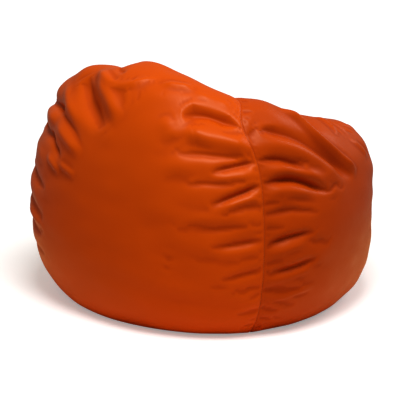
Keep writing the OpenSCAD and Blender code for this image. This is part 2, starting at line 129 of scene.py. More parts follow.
@dataclass(frozen=True)
class BagForm:
    """The smooth outside of the slumped bag, by azimuth from the front and by stretch.

    The stretch s runs 0 to 1 up the belly, to 2 over the shoulder and to 3 down into the middle
    of the hollow. Values round the bag are given at 0, 60, 120 and 180 degrees, in metres.

    Attributes:
        axis_y: Where the bag's axis stands.
        rim_h: Height of the rim.
        rim_r: Radius at the rim.
        reach: Radius at the belly's widest.
        foot: Radius at the floor.
        waist_front: Height of the widest place at the front.
        waist_back: Height of the widest place at the back.
        seat_h: Height of the hollow's middle.
        belly_fullness: How square the belly's curve is, 2 being round.
        shoulder_fullness: How square the shoulder's curve is.
        cap_r: Radius of the round cap in the hollow.
    """

    axis_y: float
    rim_h: tuple[float, ...] = (0.485, 0.540, 0.655, 0.730)
    rim_r: tuple[float, ...] = (0.410, 0.370, 0.285, 0.215)
    reach: tuple[float, ...] = (0.555, 0.520, 0.495, 0.435)
    foot: tuple[float, ...] = (0.440, 0.420, 0.380, 0.350)
    waist_front: float = 0.300
    waist_back: float = 0.235
    seat_h: float = 0.350
    belly_fullness: float = 2.0
    shoulder_fullness: float = 2.1
    cap_r: float = 0.070

    @staticmethod
    def around(values: Sequence[float], a: np.ndarray) -> np.ndarray:
        """A value that runs smoothly round the bag through its four given ones."""
        half = np.array([values[0] / 2, values[1], values[2], values[3] / 2])
        wave = [float(half @ np.cos(np.radians(60.0 * k * np.arange(4)))) for k in range(4)]
        a = np.radians(a)
        return (wave[0] + 2 * wave[1] * np.cos(a) + 2 * wave[2] * np.cos(2 * a)
                + wave[3] * np.cos(3 * a)) / 3

    def cap_edge(self, a: np.ndarray, radius: float) -> np.ndarray:
        """The stretch at which the hollow is the given radius from the bag's axis."""
        return 3.0 - radius / self.around(self.rim_r, a)

    def radius(self, a: np.ndarray, s: np.ndarray) -> np.ndarray:
        """Distance from the bag's axis."""
        foot, reach, rim = (self.around(v, a) for v in (self.foot, self.reach, self.rim_r))
        up = np.radians(90 * np.clip(s, 0, 1))
        over = np.radians(90 * np.clip(s - 1, 0, 1))
        belly = foot + (reach - foot) * np.sin(up) ** (2 / self.belly_fullness)
        shoulder = rim + (reach - rim) * np.maximum(np.cos(over), 0) ** (2 / self.shoulder_fullness)
        return np.where(s <= 1, belly, np.where(s <= 2, shoulder, rim * (3 - s)))

    def height(self, a: np.ndarray, s: np.ndarray) -> np.ndarray:
        """Height above the floor."""
        rim = self.around(self.rim_h, a)
        swing = (1 - np.cos(np.radians(a))) / 2
        waist = self.waist_front + (self.waist_back - self.waist_front) * swing
        up = np.radians(90 * np.clip(s, 0, 1))
        over = np.radians(90 * np.clip(s - 1, 0, 1))
        belly = waist * (1 - np.maximum(np.cos(up), 0) ** (2 / self.belly_fullness))
        shoulder = waist + (rim - waist) * np.sin(over) ** (2 / self.shoulder_fullness)
        hollow = self.seat_h + (rim - self.seat_h) * (1 + np.cos(np.pi * np.clip(s - 2, 0, 1))) / 2
        return np.where(s <= 1, belly, np.where(s <= 2, shoulder, hollow))

    @staticmethod
    def drift(a: np.ndarray, s: np.ndarray) -> np.ndarray:
        """How far the folds pull the cloth's lines round the bag beside the left seam, in degrees."""
        seam, height = DRIFT_AT
        wide, tall = DRIFT_REACH
        return DRIFT * np.exp(-((turn_from(seam, a) / wide) ** 2) - ((s - height) / tall) ** 2)

    def point(self, a: np.ndarray, s: np.ndarray) -> np.ndarray:
        """Points of the surface in the row frame."""
        a, s = np.broadcast_arrays(np.asarray(a, float), np.asarray(s, float))
        a = a + self.drift(a, s)
        r, turn = self.radius(a, s), np.radians(a)
        return np.stack([r * np.sin(turn), self.axis_y - r * np.cos(turn), self.height(a, s)], -1)

    def normal(self, a: np.ndarray, s: np.ndarray) -> np.ndarray:
        """Outward unit normals of the surface."""
        a, s = np.broadcast_arrays(np.asarray(a, float), np.asarray(s, float))
        across = self.point(a + 1, s) - self.point(a - 1, s)
        up = self.point(a, np.minimum(s + 0.01, 2.999)) - self.point(a, np.maximum(s - 0.01, 0))
        return unit(np.cross(across, up))


class FoldKind(Enum):
    """How a fold's height falls off beside its line."""

    RIDGE = "rounded crest or broad lump"
    VALLEY = "sharp crease"


@dataclass(frozen=True)
class Fold:
    """One fold of the cover, drawn as a line over the bag.

    Attributes:
        path: Azimuth in degrees and stretch of each point that the line passes.
        width: Half width, in metres.
        height: Height at its middle, in metres, negative for a valley.
        kind: How it falls off beside its line.
        fade: Share of its length over which each end dies away.
    """

    path: tuple[tuple[float, float], ...]
    width: float
    height: float
    kind: FoldKind = FoldKind.RIDGE
    fade: float = 0.35
    samples: int = 8

    def profile(self, distance: np.ndarray) -> np.ndarray:
        """Share of the height at a distance from the line."""
        d = distance / self.width
        if self.kind is FoldKind.VALLEY:
            return np.exp(-CREASE_FALL * (np.sqrt(d * d + CREASE_ROUND**2) - CREASE_ROUND))
        return np.exp(-d * d)

    def lift(self, form: BagForm, points: np.ndarray) -> np.ndarray:
        """How far the fold moves each point along its normal.

        Args:
            form: The surface that the line lies on.
            points: Points of the surface, any number of them in rows of three.

        Returns:
            One distance for each point, in metres.
        """
        path = np.array(self.path, float)
        if len(path) == 1:
            line = form.point(path[:, 0], path[:, 1])
        else:
            smooth_path = spline(path, self.samples)
            line = form.point(smooth_path[:, 0], smooth_path[:, 1])
        reach = FOLD_REACH * self.width
        near = np.all((points > line.min(0) - reach) & (points < line.max(0) + reach), axis=1)
        found = points[near]
        lift = np.zeros(len(points))
        if not len(found):
            return lift
        if len(line) == 1:
            lift[near] = self.height * self.profile(np.linalg.norm(found - line[0], axis=1))
            return lift
        length = run_length(line)
        best = np.full(len(found), np.inf)
        along = np.zeros(len(found))
        for start, end, at, step in zip(line, line[1:], length, np.diff(length)):
            way = end - start
            t = np.clip((found - start) @ way / max(float(way @ way), 1e-12), 0, 1)
            distance = np.linalg.norm(found - start - t[:, None] * way, axis=1)
            nearer = distance < best
            best[nearer] = distance[nearer]
            along[nearer] = at + step * t[nearer]
        share = along / length[-1]
        ends = smooth(share / self.fade) * smooth((1 - share) / self.fade)
        lift[near] = self.height * ends * self.profile(best)
        return lift


@dataclass(frozen=True)
class Gather:
    """One pucker that crosses a seam and dies away on both sides.

    Attributes:
        at: Distance up the seam, in metres.
        width: Half width at the seam.
        height: Height at the seam, negative for a pinch.
        before: Distance that it reaches on the side of smaller azimuths.
        after: Distance that it reaches on the other side.
        lean: How far it drifts up the seam for each metre away from it.
    """

    at: float
    width: float
    height: float
    before: float
    after: float
    lean: float


@dataclass(frozen=True)
class SeamGathers:
    """The puckers of one seam, drawn from a seeded run of random numbers.

    Attributes:
        seam: Azimuth of the seam, in degrees.
        seed: Seed of the run.
        pitch: Usual distance between two puckers, in metres.
        height: Usual height of a pucker, in metres.
        before: Usual reach on the side of smaller azimuths.
        after: Usual reach on the other side.
    """

    START, END = 0.02, 0.03
    PINCHES, PINCH, PUFF = 0.6, -1.0, 0.7
    NARROW, WIDER = 0.003, 0.007
    SIZES, SIZE_POWER = (0.35, 1.0), 1.6
    REACHES, LEANS, STEPS = (0.4, 1.3), (-0.35, 0.35), (0.45, 1.5)

    seam: float
    seed: int
    pitch: float
    height: float
    before: float
    after: float

    def gathers(self, length: float) -> list[Gather]:
        """The puckers along a seam of the given length."""
        draw = np.random.default_rng(self.seed)
        made, at = [], self.START
        while at < length - self.END:
            size = float(draw.uniform(*self.SIZES)) ** self.SIZE_POWER
            sign = self.PINCH if draw.random() < self.PINCHES else self.PUFF
            made.append(Gather(
                at=at,
                width=self.NARROW + self.WIDER * size,
                height=sign * self.height * size,
                before=self.before * float(draw.uniform(*self.REACHES)) * (0.4 + size),
                after=self.after * float(draw.uniform(*self.REACHES)) * (0.4 + size),
                lean=float(draw.uniform(*self.LEANS)),
            ))
            at += self.pitch * float(draw.uniform(*self.STEPS))
        return made

    def lift(self, form: BagForm, a: np.ndarray, s: np.ndarray) -> np.ndarray:
        """How far the puckers move points at azimuths a and stretches s, in metres."""
        stretch = np.linspace(0, 2.85, 600)
        run = run_length(form.point(np.full_like(stretch, self.seam), stretch))
        up = np.interp(s, stretch, run)
        turn = turn_from(self.seam, a)
        aside = np.abs(np.radians(turn)) * form.radius(np.full_like(s, self.seam), s)
        lift = np.zeros(a.shape)
        for g in self.gathers(float(run[-1])):
            reach = np.where(turn < 0, g.before, g.after)
            near = (aside < 2.2 * reach) & (np.abs(up - g.at) < 5 * g.width + 0.4 * aside)
            x, far = aside[near], reach[near]
            side = np.sign(turn[near])
            spread = g.width * (1 + 1.4 * x / far)
            off = (up[near] - g.at - g.lean * side * x) / spread
            fade = np.exp(-(x / far) ** 1.5) * (0.55 + 0.45 * smooth(x / 0.012))
            lift[near] += g.height * np.exp(-off * off) * fade
        return lift


@dataclass(frozen=True)
class Lumps:
    """Soft unevenness of settled beads, as a sum of seeded waves that run in all directions.

    Attributes:
        seed: Seed of the waves.
        wavelength: Usual distance between two lumps, in metres.
        height: Usual height of a lump, in metres.
        flatten: How much longer the lumps are across than up.
        waves: How many waves are added.
    """

    seed: int
    wavelength: float
    height: float
    flatten: float = 1.0
    waves: int = 14

    def lift(self, points: np.ndarray) -> np.ndarray:
        """How far the lumps move each point, in metres."""
        draw = np.random.default_rng(self.seed)
        way = unit(draw.normal(size=(self.waves, 3)))
        way[:, 2] *= self.flatten
        turns = 2 * np.pi / (self.wavelength * draw.uniform(0.7, 1.5, self.waves))
        phase = draw.uniform(0, 2 * np.pi, self.waves)
        waves = np.sin(points @ (way * turns[:, None]).T + phase)
        return self.height * waves.sum(1) / math.sqrt(self.waves)


@dataclass
class Relief:
    """All that moves the cover off its smooth form.

    Attributes:
        form: The smooth form.
        folds: The folds drawn on it.
        seams: The puckers of each seam.
        lumps: The unevenness of the beads.
        slack: How far the slack cloth stands off all these, once it has been simulated.
        crest: How far the bag stands out along a seam.
        crest_width: Distance from the seam over which that falls to a third.
        crest_end: Stretch at which it ends, in the hollow.
        crest_fade: Stretch over which it dies away there.
        cap_fade: Stretch over which everything dies away before the cap.
    """

    form: BagForm
    folds: tuple[Fold, ...]
    seams: tuple[SeamGathers, ...]
    lumps: tuple[Lumps, ...] = ()
    slack: Optional["SlackMap"] = None
    crest: float = 11 * MM
    crest_width: float = 0.085
    crest_end: float = 2.1
    crest_fade: float = 0.4
    cap_fade: float = 0.10

    def lift(self, a: np.ndarray, s: np.ndarray) -> np.ndarray:
        """How far each point of the surface moves along its normal, in metres."""
        points = self.form.point(a, s).reshape(-1, 3)
        total = np.zeros(len(points))
        for piece in self.folds:
            total += piece.lift(self.form, points)
        for piece in self.lumps:
            total += piece.lift(points)
        total = total.reshape(a.shape)
        for seam in self.seams:
            total += seam.lift(self.form, a, s)
            aside = np.radians(np.abs(turn_from(seam.seam, a))) * self.form.radius(a, s)
            ends = smooth((self.crest_end - s) / self.crest_fade)
            total += self.crest * np.exp(-aside / self.crest_width) * ends
        if self.slack is not None:
            total += self.slack.lift(a, s)
        foot_fade = smooth(s / FOOT_FADE)
        cap_fade = smooth((self.form.cap_edge(a, self.form.cap_r) - s) / self.cap_fade)
        return total * foot_fade * cap_fade

    def surface(self, a: np.ndarray, s: np.ndarray, depth: Union[float, np.ndarray] = 0.0
                ) -> np.ndarray:
        """Points of the folded cover, or of a layer at a depth below it, kept off the floor."""
        return self.at_depth(a, s, self.lift(a, s), depth)

    def at_depth(self, a: np.ndarray, s: np.ndarray, lift: np.ndarray,
                 depth: Union[float, np.ndarray]) -> np.ndarray:
        """Points moved along the form's normal by lift less depth, kept off the floor."""
        out = self.form.point(a, s) + (lift - depth)[..., None] * self.form.normal(a, s)
        out[..., 2] = np.maximum(out[..., 2], OFF_FLOOR + depth)
        return out


# ---------------------------------------------------------------- meshes from grids


def new_object(name: str, verts: np.ndarray, faces: np.ndarray) -> bpy.types.Object:
    """A smooth-shaded mesh object in the scene.

    Args:
        name: The piece's name.
        verts: Points, in metres.
        faces: Corners of each face, four to a face. A triangle repeats its last corner.

    Returns:
        The new object.
    """
    mesh = bpy.data.meshes.new(name)
    tri = faces[:, 2] == faces[:, 3]
    counts = np.where(tri, 3, 4)
    keep = np.ones(faces.shape, bool)
    keep[tri, 3] = False
    corners = faces[keep]
    mesh.vertices.add(len(verts))
    mesh.vertices.foreach_set("co", np.ascontiguousarray(verts, np.float32).ravel())
    mesh.loops.add(len(corners))
    mesh.loops.foreach_set("vertex_index", corners.astype(np.int32))
    mesh.polygons.add(len(faces))
    starts = np.concatenate([[0], np.cumsum(counts)[:-1]]).astype(np.int32)
    mesh.polygons.foreach_set("loop_start", starts)
    mesh.polygons.foreach_set("use_smooth", np.ones(len(faces), bool))
    mesh.update(calc_edges=True)
    mesh.validate()
    made = bpy.data.objects.new(name, mesh)
    bpy.context.scene.collection.objects.link(made)
    return made


def quads(low: np.ndarray, wrap: bool = False, flip: bool = False) -> np.ndarray:
    """Faces between the points of a grid of point numbers, columns by rows."""
    if wrap:
        low = np.vstack([low, low[:1]])
    a, b, c, d = low[:-1, :-1], low[1:, :-1], low[1:, 1:], low[:-1, 1:]
    faces = np.stack([a, b, c, d], -1).reshape(-1, 4)
    return faces[:, ::-1] if flip else faces


def sheet_solid(name: str, outer: np.ndarray, thick: float, wrap: bool = False) -> bpy.types.Object:
    """A closed sheet of cloth with its given outside and an even thickness.

    Args:
        name: The piece's name.
        outer: Grid of points, columns anticlockwise by rows upwards.
        thick: The cloth's thickness, in metres.
        wrap: Whether the sheet closes round on itself.

    Returns:
        The new object, with a mask of its crests and creases stored on its points, which the leather
        finish uses for a painted highlight on crests and painted shade in creases.
    """
    nc, nr = outer.shape[:2]
    normals = grid_normals(outer, wrap)
    inner = outer - thick * normals
    low = np.arange(nc * nr).reshape(nc, nr)
    high = low + nc * nr
    faces = [quads(low, wrap), quads(high, wrap, True)]
    rim = [np.stack([high[:, 0], low[:, 0]], 1), np.stack([low[:, -1], high[:, -1]], 1)]
    faces += [quads(edge, wrap) for edge in rim]
    if not wrap:
        faces += [quads(np.stack([low[0], high[0]], 0)), quads(np.stack([high[-1], low[-1]], 0))]
    made = new_object(name, np.vstack([outer.reshape(-1, 3), inner.reshape(-1, 3)]), np.vstack(faces))
    # Mask of crests and creases. The leather finish paints a highlight on the crests and shade in the
    # creases from it.
    crest_highlight_crease_shade = crest_share(outer, normals, wrap)
    attribute = made.data.attributes.new("crest_highlight_crease_shade", "FLOAT", "POINT")
    attribute.data.foreach_set("value", np.tile(crest_highlight_crease_shade.ravel(), 2).astype(np.float32))
    return made


def crest_share(outer: np.ndarray, normals: np.ndarray, wrap: bool) -> np.ndarray:
    """How far each point stands out of its neighbours, from 0 in a crease to 1 on a crest."""
    mean = np.zeros_like(outer)
    reach, full = 3, 0.5 * MM
    for axis in (0, 1):
        for step in (-reach, reach):
            moved = np.roll(outer, step, axis)
            if axis == 1 or not wrap:
                edge = [slice(None), slice(None)]
                edge[axis] = slice(0, reach) if step > 0 else slice(-reach, None)
                moved[tuple(edge)] = outer[tuple(edge)]
            mean += moved / 4
    stands = np.einsum("ijk,ijk->ij", outer - mean, normals)
    return 0.5 + 0.5 * np.tanh(stands / full)


def tube_mesh(line: np.ndarray, radii: np.ndarray, sides: int, up: np.ndarray
              ) -> tuple[np.ndarray, np.ndarray]:
    """Points and faces of a round tube with closed ends.

    Args:
        line: Points of the tube's middle.
        radii: Radius at each point.
        sides: Sides of the tube.
        up: A direction that is never along the line.

    Returns:
        The points, and the faces as four corners each.
    """
    way = unit(np.gradient(line, axis=0))
    side = unit(np.cross(way, up))
    over = np.cross(side, way)
    turn = np.linspace(0, 2 * np.pi, sides, endpoint=False)
    ring = (np.cos(turn)[None, :, None] * side[:, None] + np.sin(turn)[None, :, None] * over[:, None])
    verts = line[:, None] + radii[:, None, None] * ring
    number = np.arange(len(line) * sides).reshape(len(line), sides)
    faces = quads(number.T, True)
    caps = []
    for row, flip in ((number[0], True), (number[-1], False)):
        fan = np.stack([np.full(sides - 2, row[0]), row[1:-1], row[2:], row[2:]], 1)
        caps.append(fan[:, [0, 2, 1, 1]] if flip else fan)
    return verts.reshape(-1, 3), np.vstack([faces, *caps])


def joined(parts: Iterable[tuple[np.ndarray, np.ndarray]]) -> tuple[np.ndarray, np.ndarray]:
    """Several meshes' points and faces as one mesh's."""
    verts, faces, count = [], [], 0
    for v, f in parts:
        verts.append(v)
        faces.append(f + count)
        count += len(v)
    return np.vstack(verts), np.vstack(faces)


@dataclass(frozen=True)
class Stitching:
    """A thread and the way that it is sewn.

    Attributes:
        diameter: The thread's diameter.
        pitch: Distance from one stitch to the next.
        share: Share of the pitch that a stitch covers.
        arch: How far a stitch's middle stands above its ends.
    """

    diameter: float
    pitch: float
    share: float
    arch: float

    BOW = np.array([0.0, 0.25, 0.5, 0.75, 1.0])
    TAPER = np.array([0.55, 0.95, 1.0, 0.95, 0.55])
    SIDES = 6

    def row(self, line: np.ndarray, up: np.ndarray) -> tuple[np.ndarray, np.ndarray]:
        """A row of stitches along a line.

        Args:
            line: Points that the row follows, close together.
            up: Direction out of the cloth at each point.

        Returns:
            Points and faces of all the stitches.
        """
        run = run_length(line)
        count = int(run[-1] / self.pitch)
        stitches = []
        for i in range(count):
            at = (i + 0.5 + self.share * (self.BOW - 0.5)) * run[-1] / count
            middle = np.stack([np.interp(at, run, line[:, k]) for k in range(3)], 1)
            out = unit(np.stack([np.interp(at, run, up[:, k]) for k in range(3)], 1))
            middle = middle + (self.arch * (1 - (2 * self.BOW - 1) ** 2))[:, None] * out
            stitches.append(tube_mesh(middle, self.diameter / 2 * self.TAPER, self.SIDES, out[2]))
        return joined(stitches)

    def sew(self, name: str, node: str, lines: Iterable[tuple[np.ndarray, np.ndarray]],
            finish: bpy.types.Material, slot: str) -> None:
        """Make one piece of all the rows of a seam.

        Args:
            name: The piece's name.
            node: The CAD node that it replaces.
            lines: Each row's line, and the way out of the cloth along it.
            finish: The thread's material.
            slot: The record's material slot.
        """
        verts, faces = joined(self.row(line, up) for line, up in lines)
        place(new_object(name, verts, faces), finish, slot, node)


# ---------------------------------------------------------------- shader maths

Value = Union["Sock", float, int]


class Sock:
    """An output socket of a shader tree, with arithmetic that adds Math nodes."""

    def __init__(self, graph: "Graph", socket: bpy.types.NodeSocket) -> None:
        """Wrap a socket of the graph."""
        self.graph = graph
        self.socket = socket

    def _math(self, operation: str, *values: Value) -> "Sock":
        """The result of a Math node."""
        return self.graph.node("ShaderNodeMath", {"operation": operation}, dict(enumerate(values)))

    def __add__(self, other: Value) -> "Sock":
        """self + other."""
        return self._math("ADD", self, other)

    def __radd__(self, other: Value) -> "Sock":
        """other + self."""
        return self._math("ADD", other, self)

    def __sub__(self, other: Value) -> "Sock":
        """self - other."""
        return self._math("SUBTRACT", self, other)

    def __rsub__(self, other: Value) -> "Sock":
        """other - self."""
        return self._math("SUBTRACT", other, self)

    def __mul__(self, other: Value) -> "Sock":
        """self * other."""
        return self._math("MULTIPLY", self, other)

    def __rmul__(self, other: Value) -> "Sock":
        """other * self."""
        return self._math("MULTIPLY", other, self)

    def sine(self) -> "Sock":
        """The sine of self."""
        return self._math("SINE", self)

    def clamp(self) -> "Sock":
        """self kept between 0 and 1."""
        return self.graph.node("ShaderNodeClamp", {}, {"Value": self})


class Graph:
    """The shader tree of one material."""

    def __init__(self, name: str) -> None:
        """Start an empty material with an output and a Principled shader."""
        self.material = bpy.data.materials.new(name)
        self.material.use_nodes = True
        self.tree = self.material.node_tree
        self.tree.nodes.clear()
        self.output = self.tree.nodes.new("ShaderNodeOutputMaterial")
        self.shader = self.tree.nodes.new("ShaderNodeBsdfPrincipled")
        self.tree.links.new(self.shader.outputs["BSDF"], self.output.inputs["Surface"])

    def node(self, kind: str, settings: dict[str, Any], inputs: dict[Any, Any],
             output: Union[int, str] = 0) -> Sock:
        """Add a node.

        Args:
            kind: The node's type.
            settings: Its settings, which are set first.
            inputs: Values or links of its sockets, by name or by number.
            output: Which of its outputs is wanted.

        Returns:
            That output.
        """
        made = self.tree.nodes.new(kind)
        for key, value in settings.items():
            setattr(made, key, value)
        for key, value in inputs.items():
            self.feed(made.inputs[key], value)
        return Sock(self, made.outputs[output])

    def feed(self, socket: bpy.types.NodeSocket, value: Any) -> None:
        """Link a socket, or set its value."""
        if isinstance(value, Sock):
            self.tree.links.new(value.socket, socket)
        else:
            socket.default_value = value

    def coordinates(self) -> Sock:
        """Object coordinates, which are the row frame's own metres."""
        return self.node("ShaderNodeTexCoord", {}, {}, "Object")

    def axes(self) -> list[Sock]:
        """The three object coordinates, one by one."""
        place_of = self.coordinates()
        return [self.node("ShaderNodeSeparateXYZ", {}, {"Vector": place_of}, k) for k in range(3)]

    def noise(self, scale: float, detail: float = 2.0, rough: float = 0.5) -> Sock:
        """Soft noise from 0 to 1."""
        return self.node("ShaderNodeTexNoise", {},
                         {"Vector": self.coordinates(), "Scale": scale, "Detail": detail,
                          "Roughness": rough}, "Fac")

    def attribute(self, name: str) -> Sock:
        """A number stored on the mesh."""
        return self.node("ShaderNodeAttribute", {"attribute_name": name}, {}, "Fac")

    def mix(self, share: Value, first: Any, second: Any) -> Sock:
        """A colour between two colours."""
        return self.node("ShaderNodeMix", {"data_type": "RGBA"},
                         {"Factor": share, 6: first, 7: second}, 2)

    def bump(self, height: Sock, strength: float, distance: float, under: Any = None) -> Sock:
        """A normal from a height, on top of another bump where one is given."""
        inputs = {"Height": height, "Strength": strength, "Distance": distance}
        if under is not None:
            inputs["Normal"] = under
        return self.node("ShaderNodeBump", {}, inputs)

    def finish(self, **inputs: Any) -> bpy.types.Material:
        """Feed the Principled shader's sockets, named with _ for a space, and return the material."""
        for name, value in inputs.items():
            self.feed(self.shader.inputs[name.replace("_", " ")], value)
        return self.material


Colour = tuple[float, float, float]


def rgba(colour: Colour, level: float = 1.0) -> tuple[float, float, float, float]:
    """A colour with an alpha of 1, scaled in brightness."""
    return (colour[0] * level, colour[1] * level, colour[2] * level, 1.0)


def tinted(colour: Colour, tint: Colour) -> tuple[float, float, float, float]:
    """A colour multiplied by a tint, channel by channel."""
    red, green, blue = (c * t for c, t in zip(colour, tint))
    return (red, green, blue, 1.0)


@dataclass(frozen=True)
class LeatherLook:
    """Satin coated fabric with a fine pebbled grain, with a painted highlight on crests and painted
    shade in creases.

    Attributes:
        name: The material's name.
        colour: Its base colour.
        roughness: Its roughness on the level.
        grain: Pebbles to a metre.
        crease_shade_share: How strongly the creases take their painted shade.
        crease_shade_tint: What multiplies the colour in a crease, as painted shade.
        crest_share: How strongly the crests take their painted highlight.
        crest_highlight_tint: What multiplies the colour on a crest, as painted highlight.
    """

    name: str
    colour: Colour
    roughness: float = 0.45
    grain: float = 1400.0
    crease_shade_share: float = 0.30
    crease_shade_tint: Colour = (0.55, 0.38, 0.4)
    crest_share: float = 0.16
    crest_highlight_tint: Colour = (1.25, 1.45, 2.2)

    def material(self) -> bpy.types.Material:
        """The finish as a material."""
        g = Graph(self.name)
        crest_highlight_crease_shade = g.attribute("crest_highlight_crease_shade")
        patches = g.noise(5.0, 3.0)
        fine = g.noise(60.0, 3.0)
        shade = g.mix(patches, rgba(self.colour, 0.93), rgba(self.colour, 1.06))
        crest = ((crest_highlight_crease_shade - 0.5) * 2.0).clamp()
        crease = ((0.5 - crest_highlight_crease_shade) * 2.0).clamp()
        # Painted shade darkens the creases, and a painted highlight makes the crests paler and whiter.
        shade = g.mix(crease * self.crease_shade_share, shade, tinted(self.colour, self.crease_shade_tint))
        shade = g.mix(crest * self.crest_share, shade, tinted(self.colour, self.crest_highlight_tint))
        pebbles = g.node("ShaderNodeTexVoronoi", {"feature": "SMOOTH_F1"},
                         {"Vector": g.coordinates(), "Scale": self.grain, "Smoothness": 0.6,
                          "Randomness": 1.0}, "Distance")
        creasing = g.noise(240.0, 4.0, 0.6)
        grain = g.bump(pebbles, 0.18, 0.12 * MM)
        grain = g.bump(creasing, 0.12, 0.35 * MM, grain)
        rough = self.roughness + (fine - 0.5) * 0.10 + crease * 0.10 - crest * 0.05
        return g.finish(Base_Color=shade, Roughness=rough, Normal=grain, Specular_IOR_Level=0.24,
                        Specular_Tint=(1.0, 0.72, 0.5, 1.0), IOR=1.42)


@dataclass(frozen=True)
class Woven:
    """Plain woven cloth: crossing yarns in relief, with a faint change of shade."""

    name: str
    colour: Colour
    yarn: float = 0.35 * MM
    roughness: float = 0.82

    def material(self) -> bpy.types.Material:
        """The finish as a material."""
        g = Graph(self.name)
        x, y, z = g.axes()
        turns = math.pi / self.yarn
        warp = ((x + z * 0.5) * turns).sine()
        weft = ((y + z * 0.5) * turns).sine()
        weave = warp * weft * 0.5 + 0.5
        patches = g.noise(30.0, 3.0)
        shade = g.mix(patches * 0.5 + weave * 0.5, rgba(self.colour, 0.86), rgba(self.colour, 1.08))
        rough = self.roughness + (patches - 0.5) * 0.12
        return g.finish(Base_Color=shade, Roughness=rough, Sheen_Weight=0.25, Sheen_Roughness=0.5,
                        Normal=g.bump(weave, 0.45, 0.5 * self.yarn))


@dataclass(frozen=True)
class Thread:
    """Twisted thread with a fine diagonal ply."""

    name: str
    colour: Colour
    roughness: float = 0.55
    ply: float = 0.5 * MM

    def material(self) -> bpy.types.Material:
        """The finish as a material."""
        g = Graph(self.name)
        x, y, z = g.axes()
        ply = ((x + y + z * 1.3) * (2 * math.pi / self.ply)).sine() * 0.5 + 0.5
        shade = g.mix(ply * g.noise(400.0), rgba(self.colour, 0.75), rgba(self.colour, 1.1))
        return g.finish(Base_Color=shade, Roughness=self.roughness + (ply - 0.5) * 0.1,
                        Normal=g.bump(ply, 0.5, 0.1 * MM))


@dataclass(frozen=True)
class CastMetal:
    """Plated die-cast zinc with a soft mottle and light rubbing."""

    name: str
    colour: Colour
    roughness: float = 0.32

    def material(self) -> bpy.types.Material:
        """The finish as a material."""
        g = Graph(self.name)
        mottle = g.noise(900.0, 4.0)
        rubbed = g.noise(180.0, 2.0)
        shade = g.mix(mottle, rgba(self.colour, 0.85), rgba(self.colour, 1.08))
        return g.finish(Base_Color=shade, Metallic=1.0, Roughness=self.roughness + (rubbed - 0.5) * 0.2,
                        Normal=g.bump(mottle, 0.15, 0.05 * MM))


@dataclass(frozen=True)
class Nylon:
    """Moulded nylon filament, slightly milky."""

    name: str
    colour: Colour
    roughness: float = 0.4

    def material(self) -> bpy.types.Material:
        """The finish as a material."""
        g = Graph(self.name)
        streaks = g.noise(700.0, 2.0)
        shade = g.mix(streaks, rgba(self.colour, 0.85), rgba(self.colour, 1.15))
        return g.finish(Base_Color=shade, Roughness=self.roughness + (streaks - 0.5) * 0.15,
                        Normal=g.bump(streaks, 0.1, 0.05 * MM))


@dataclass(frozen=True)
class FoamBeads:
    """A packed face of small foam beads, with painted shade in the gaps between them."""

    name: str
    colour: Colour
    bead: float = 4 * MM

    def material(self) -> bpy.types.Material:
        """The finish as a material."""
        g = Graph(self.name)
        cells = g.node("ShaderNodeTexVoronoi", {"feature": "F1"},
                       {"Vector": g.coordinates(), "Scale": 1 / self.bead, "Randomness": 0.7},
                       "Distance")
        domes = (1.0 - cells * cells * 1.6).clamp()
        # The gaps between beads are darkened: painted shade.
        shade = g.mix(domes, rgba(self.colour, 0.55), rgba(self.colour, 1.0))
        return g.finish(Base_Color=shade, Roughness=0.7 + cells * 0.1,
                        Normal=g.bump(domes, 0.8, 0.5 * self.bead))


@dataclass(frozen=True)
class Finishes:
    """The object's materials, each made once."""

    cover: bpy.types.Material = field(
        default_factory=LeatherLook("orange_leather_look", (0.49, 0.063, 0.0006)).material)
    # A darker copy of the cover's finish for the left gore, standing in for its duller sheen: painted
    # shade.
    cover_painted_shade: bpy.types.Material = field(
        default_factory=LeatherLook("orange_leather_look_painted_shade", (0.40, 0.048, 0.0006)).material)
    base: bpy.types.Material = field(
        default_factory=LeatherLook("orange_leather_look_base", (0.40, 0.046, 0.0006), 0.5).material)
    thread: bpy.types.Material = field(
        default_factory=Thread("orange_thread", (0.46, 0.075, 0.008)).material)
    tape: bpy.types.Material = field(
        default_factory=Woven("zip_tape_weave", (0.36, 0.055, 0.006), 0.4 * MM).material)
    coil: bpy.types.Material = field(
        default_factory=Nylon("zip_coil_nylon", (0.22, 0.05, 0.018)).material)
    metal: bpy.types.Material = field(
        default_factory=CastMetal("slider_zinc", (0.62, 0.62, 0.64)).material)
    liner: bpy.types.Material = field(
        default_factory=Woven("liner_polyester", (0.80, 0.78, 0.73)).material)
    liner_thread: bpy.types.Material = field(
        default_factory=Thread("liner_thread", (0.82, 0.81, 0.77)).material)
    liner_coil: bpy.types.Material = field(
        default_factory=Nylon("liner_coil_nylon", (0.85, 0.85, 0.82)).material)
    label: bpy.types.Material = field(
        default_factory=Woven("care_label_satin", (0.88, 0.88, 0.85), 0.25 * MM, 0.6).material)
    beads: bpy.types.Material = field(
        default_factory=FoamBeads("foam_beads", (0.93, 0.93, 0.91)).material)


def place(piece: bpy.types.Object, material: bpy.types.Material, slot: str, *nodes: str,
          body: str = BAG) -> bpy.types.Object:
    """Dress a piece, let it ride on its body and stand it for its CAD nodes.

    Args:
        piece: The piece.
        material: Its finish.
        slot: The record's material slot; not used.
        nodes: The CAD nodes that it replaces.
        body: The CAD body that it moves with.

    Returns:
        The piece.
    """
    piece.data.materials.clear()
    piece.data.materials.append(material)
    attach(piece, body)
    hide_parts(*nodes)
    LOG.info("%s: %d points, stands for %s", piece.name, len(piece.data.vertices), ", ".join(nodes))
    return piece


def dress(node: str, material: bpy.types.Material) -> None:
    """Give a CAD node that keeps its shape its finish."""
    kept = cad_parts[node]
    kept.data.materials.clear()
    kept.data.materials.append(material)
    LOG.info("%s: kept from the frame", node)


# ---------------------------------------------------------------- the folds of this bag

R, V = FoldKind.RIDGE, FoldKind.VALLEY

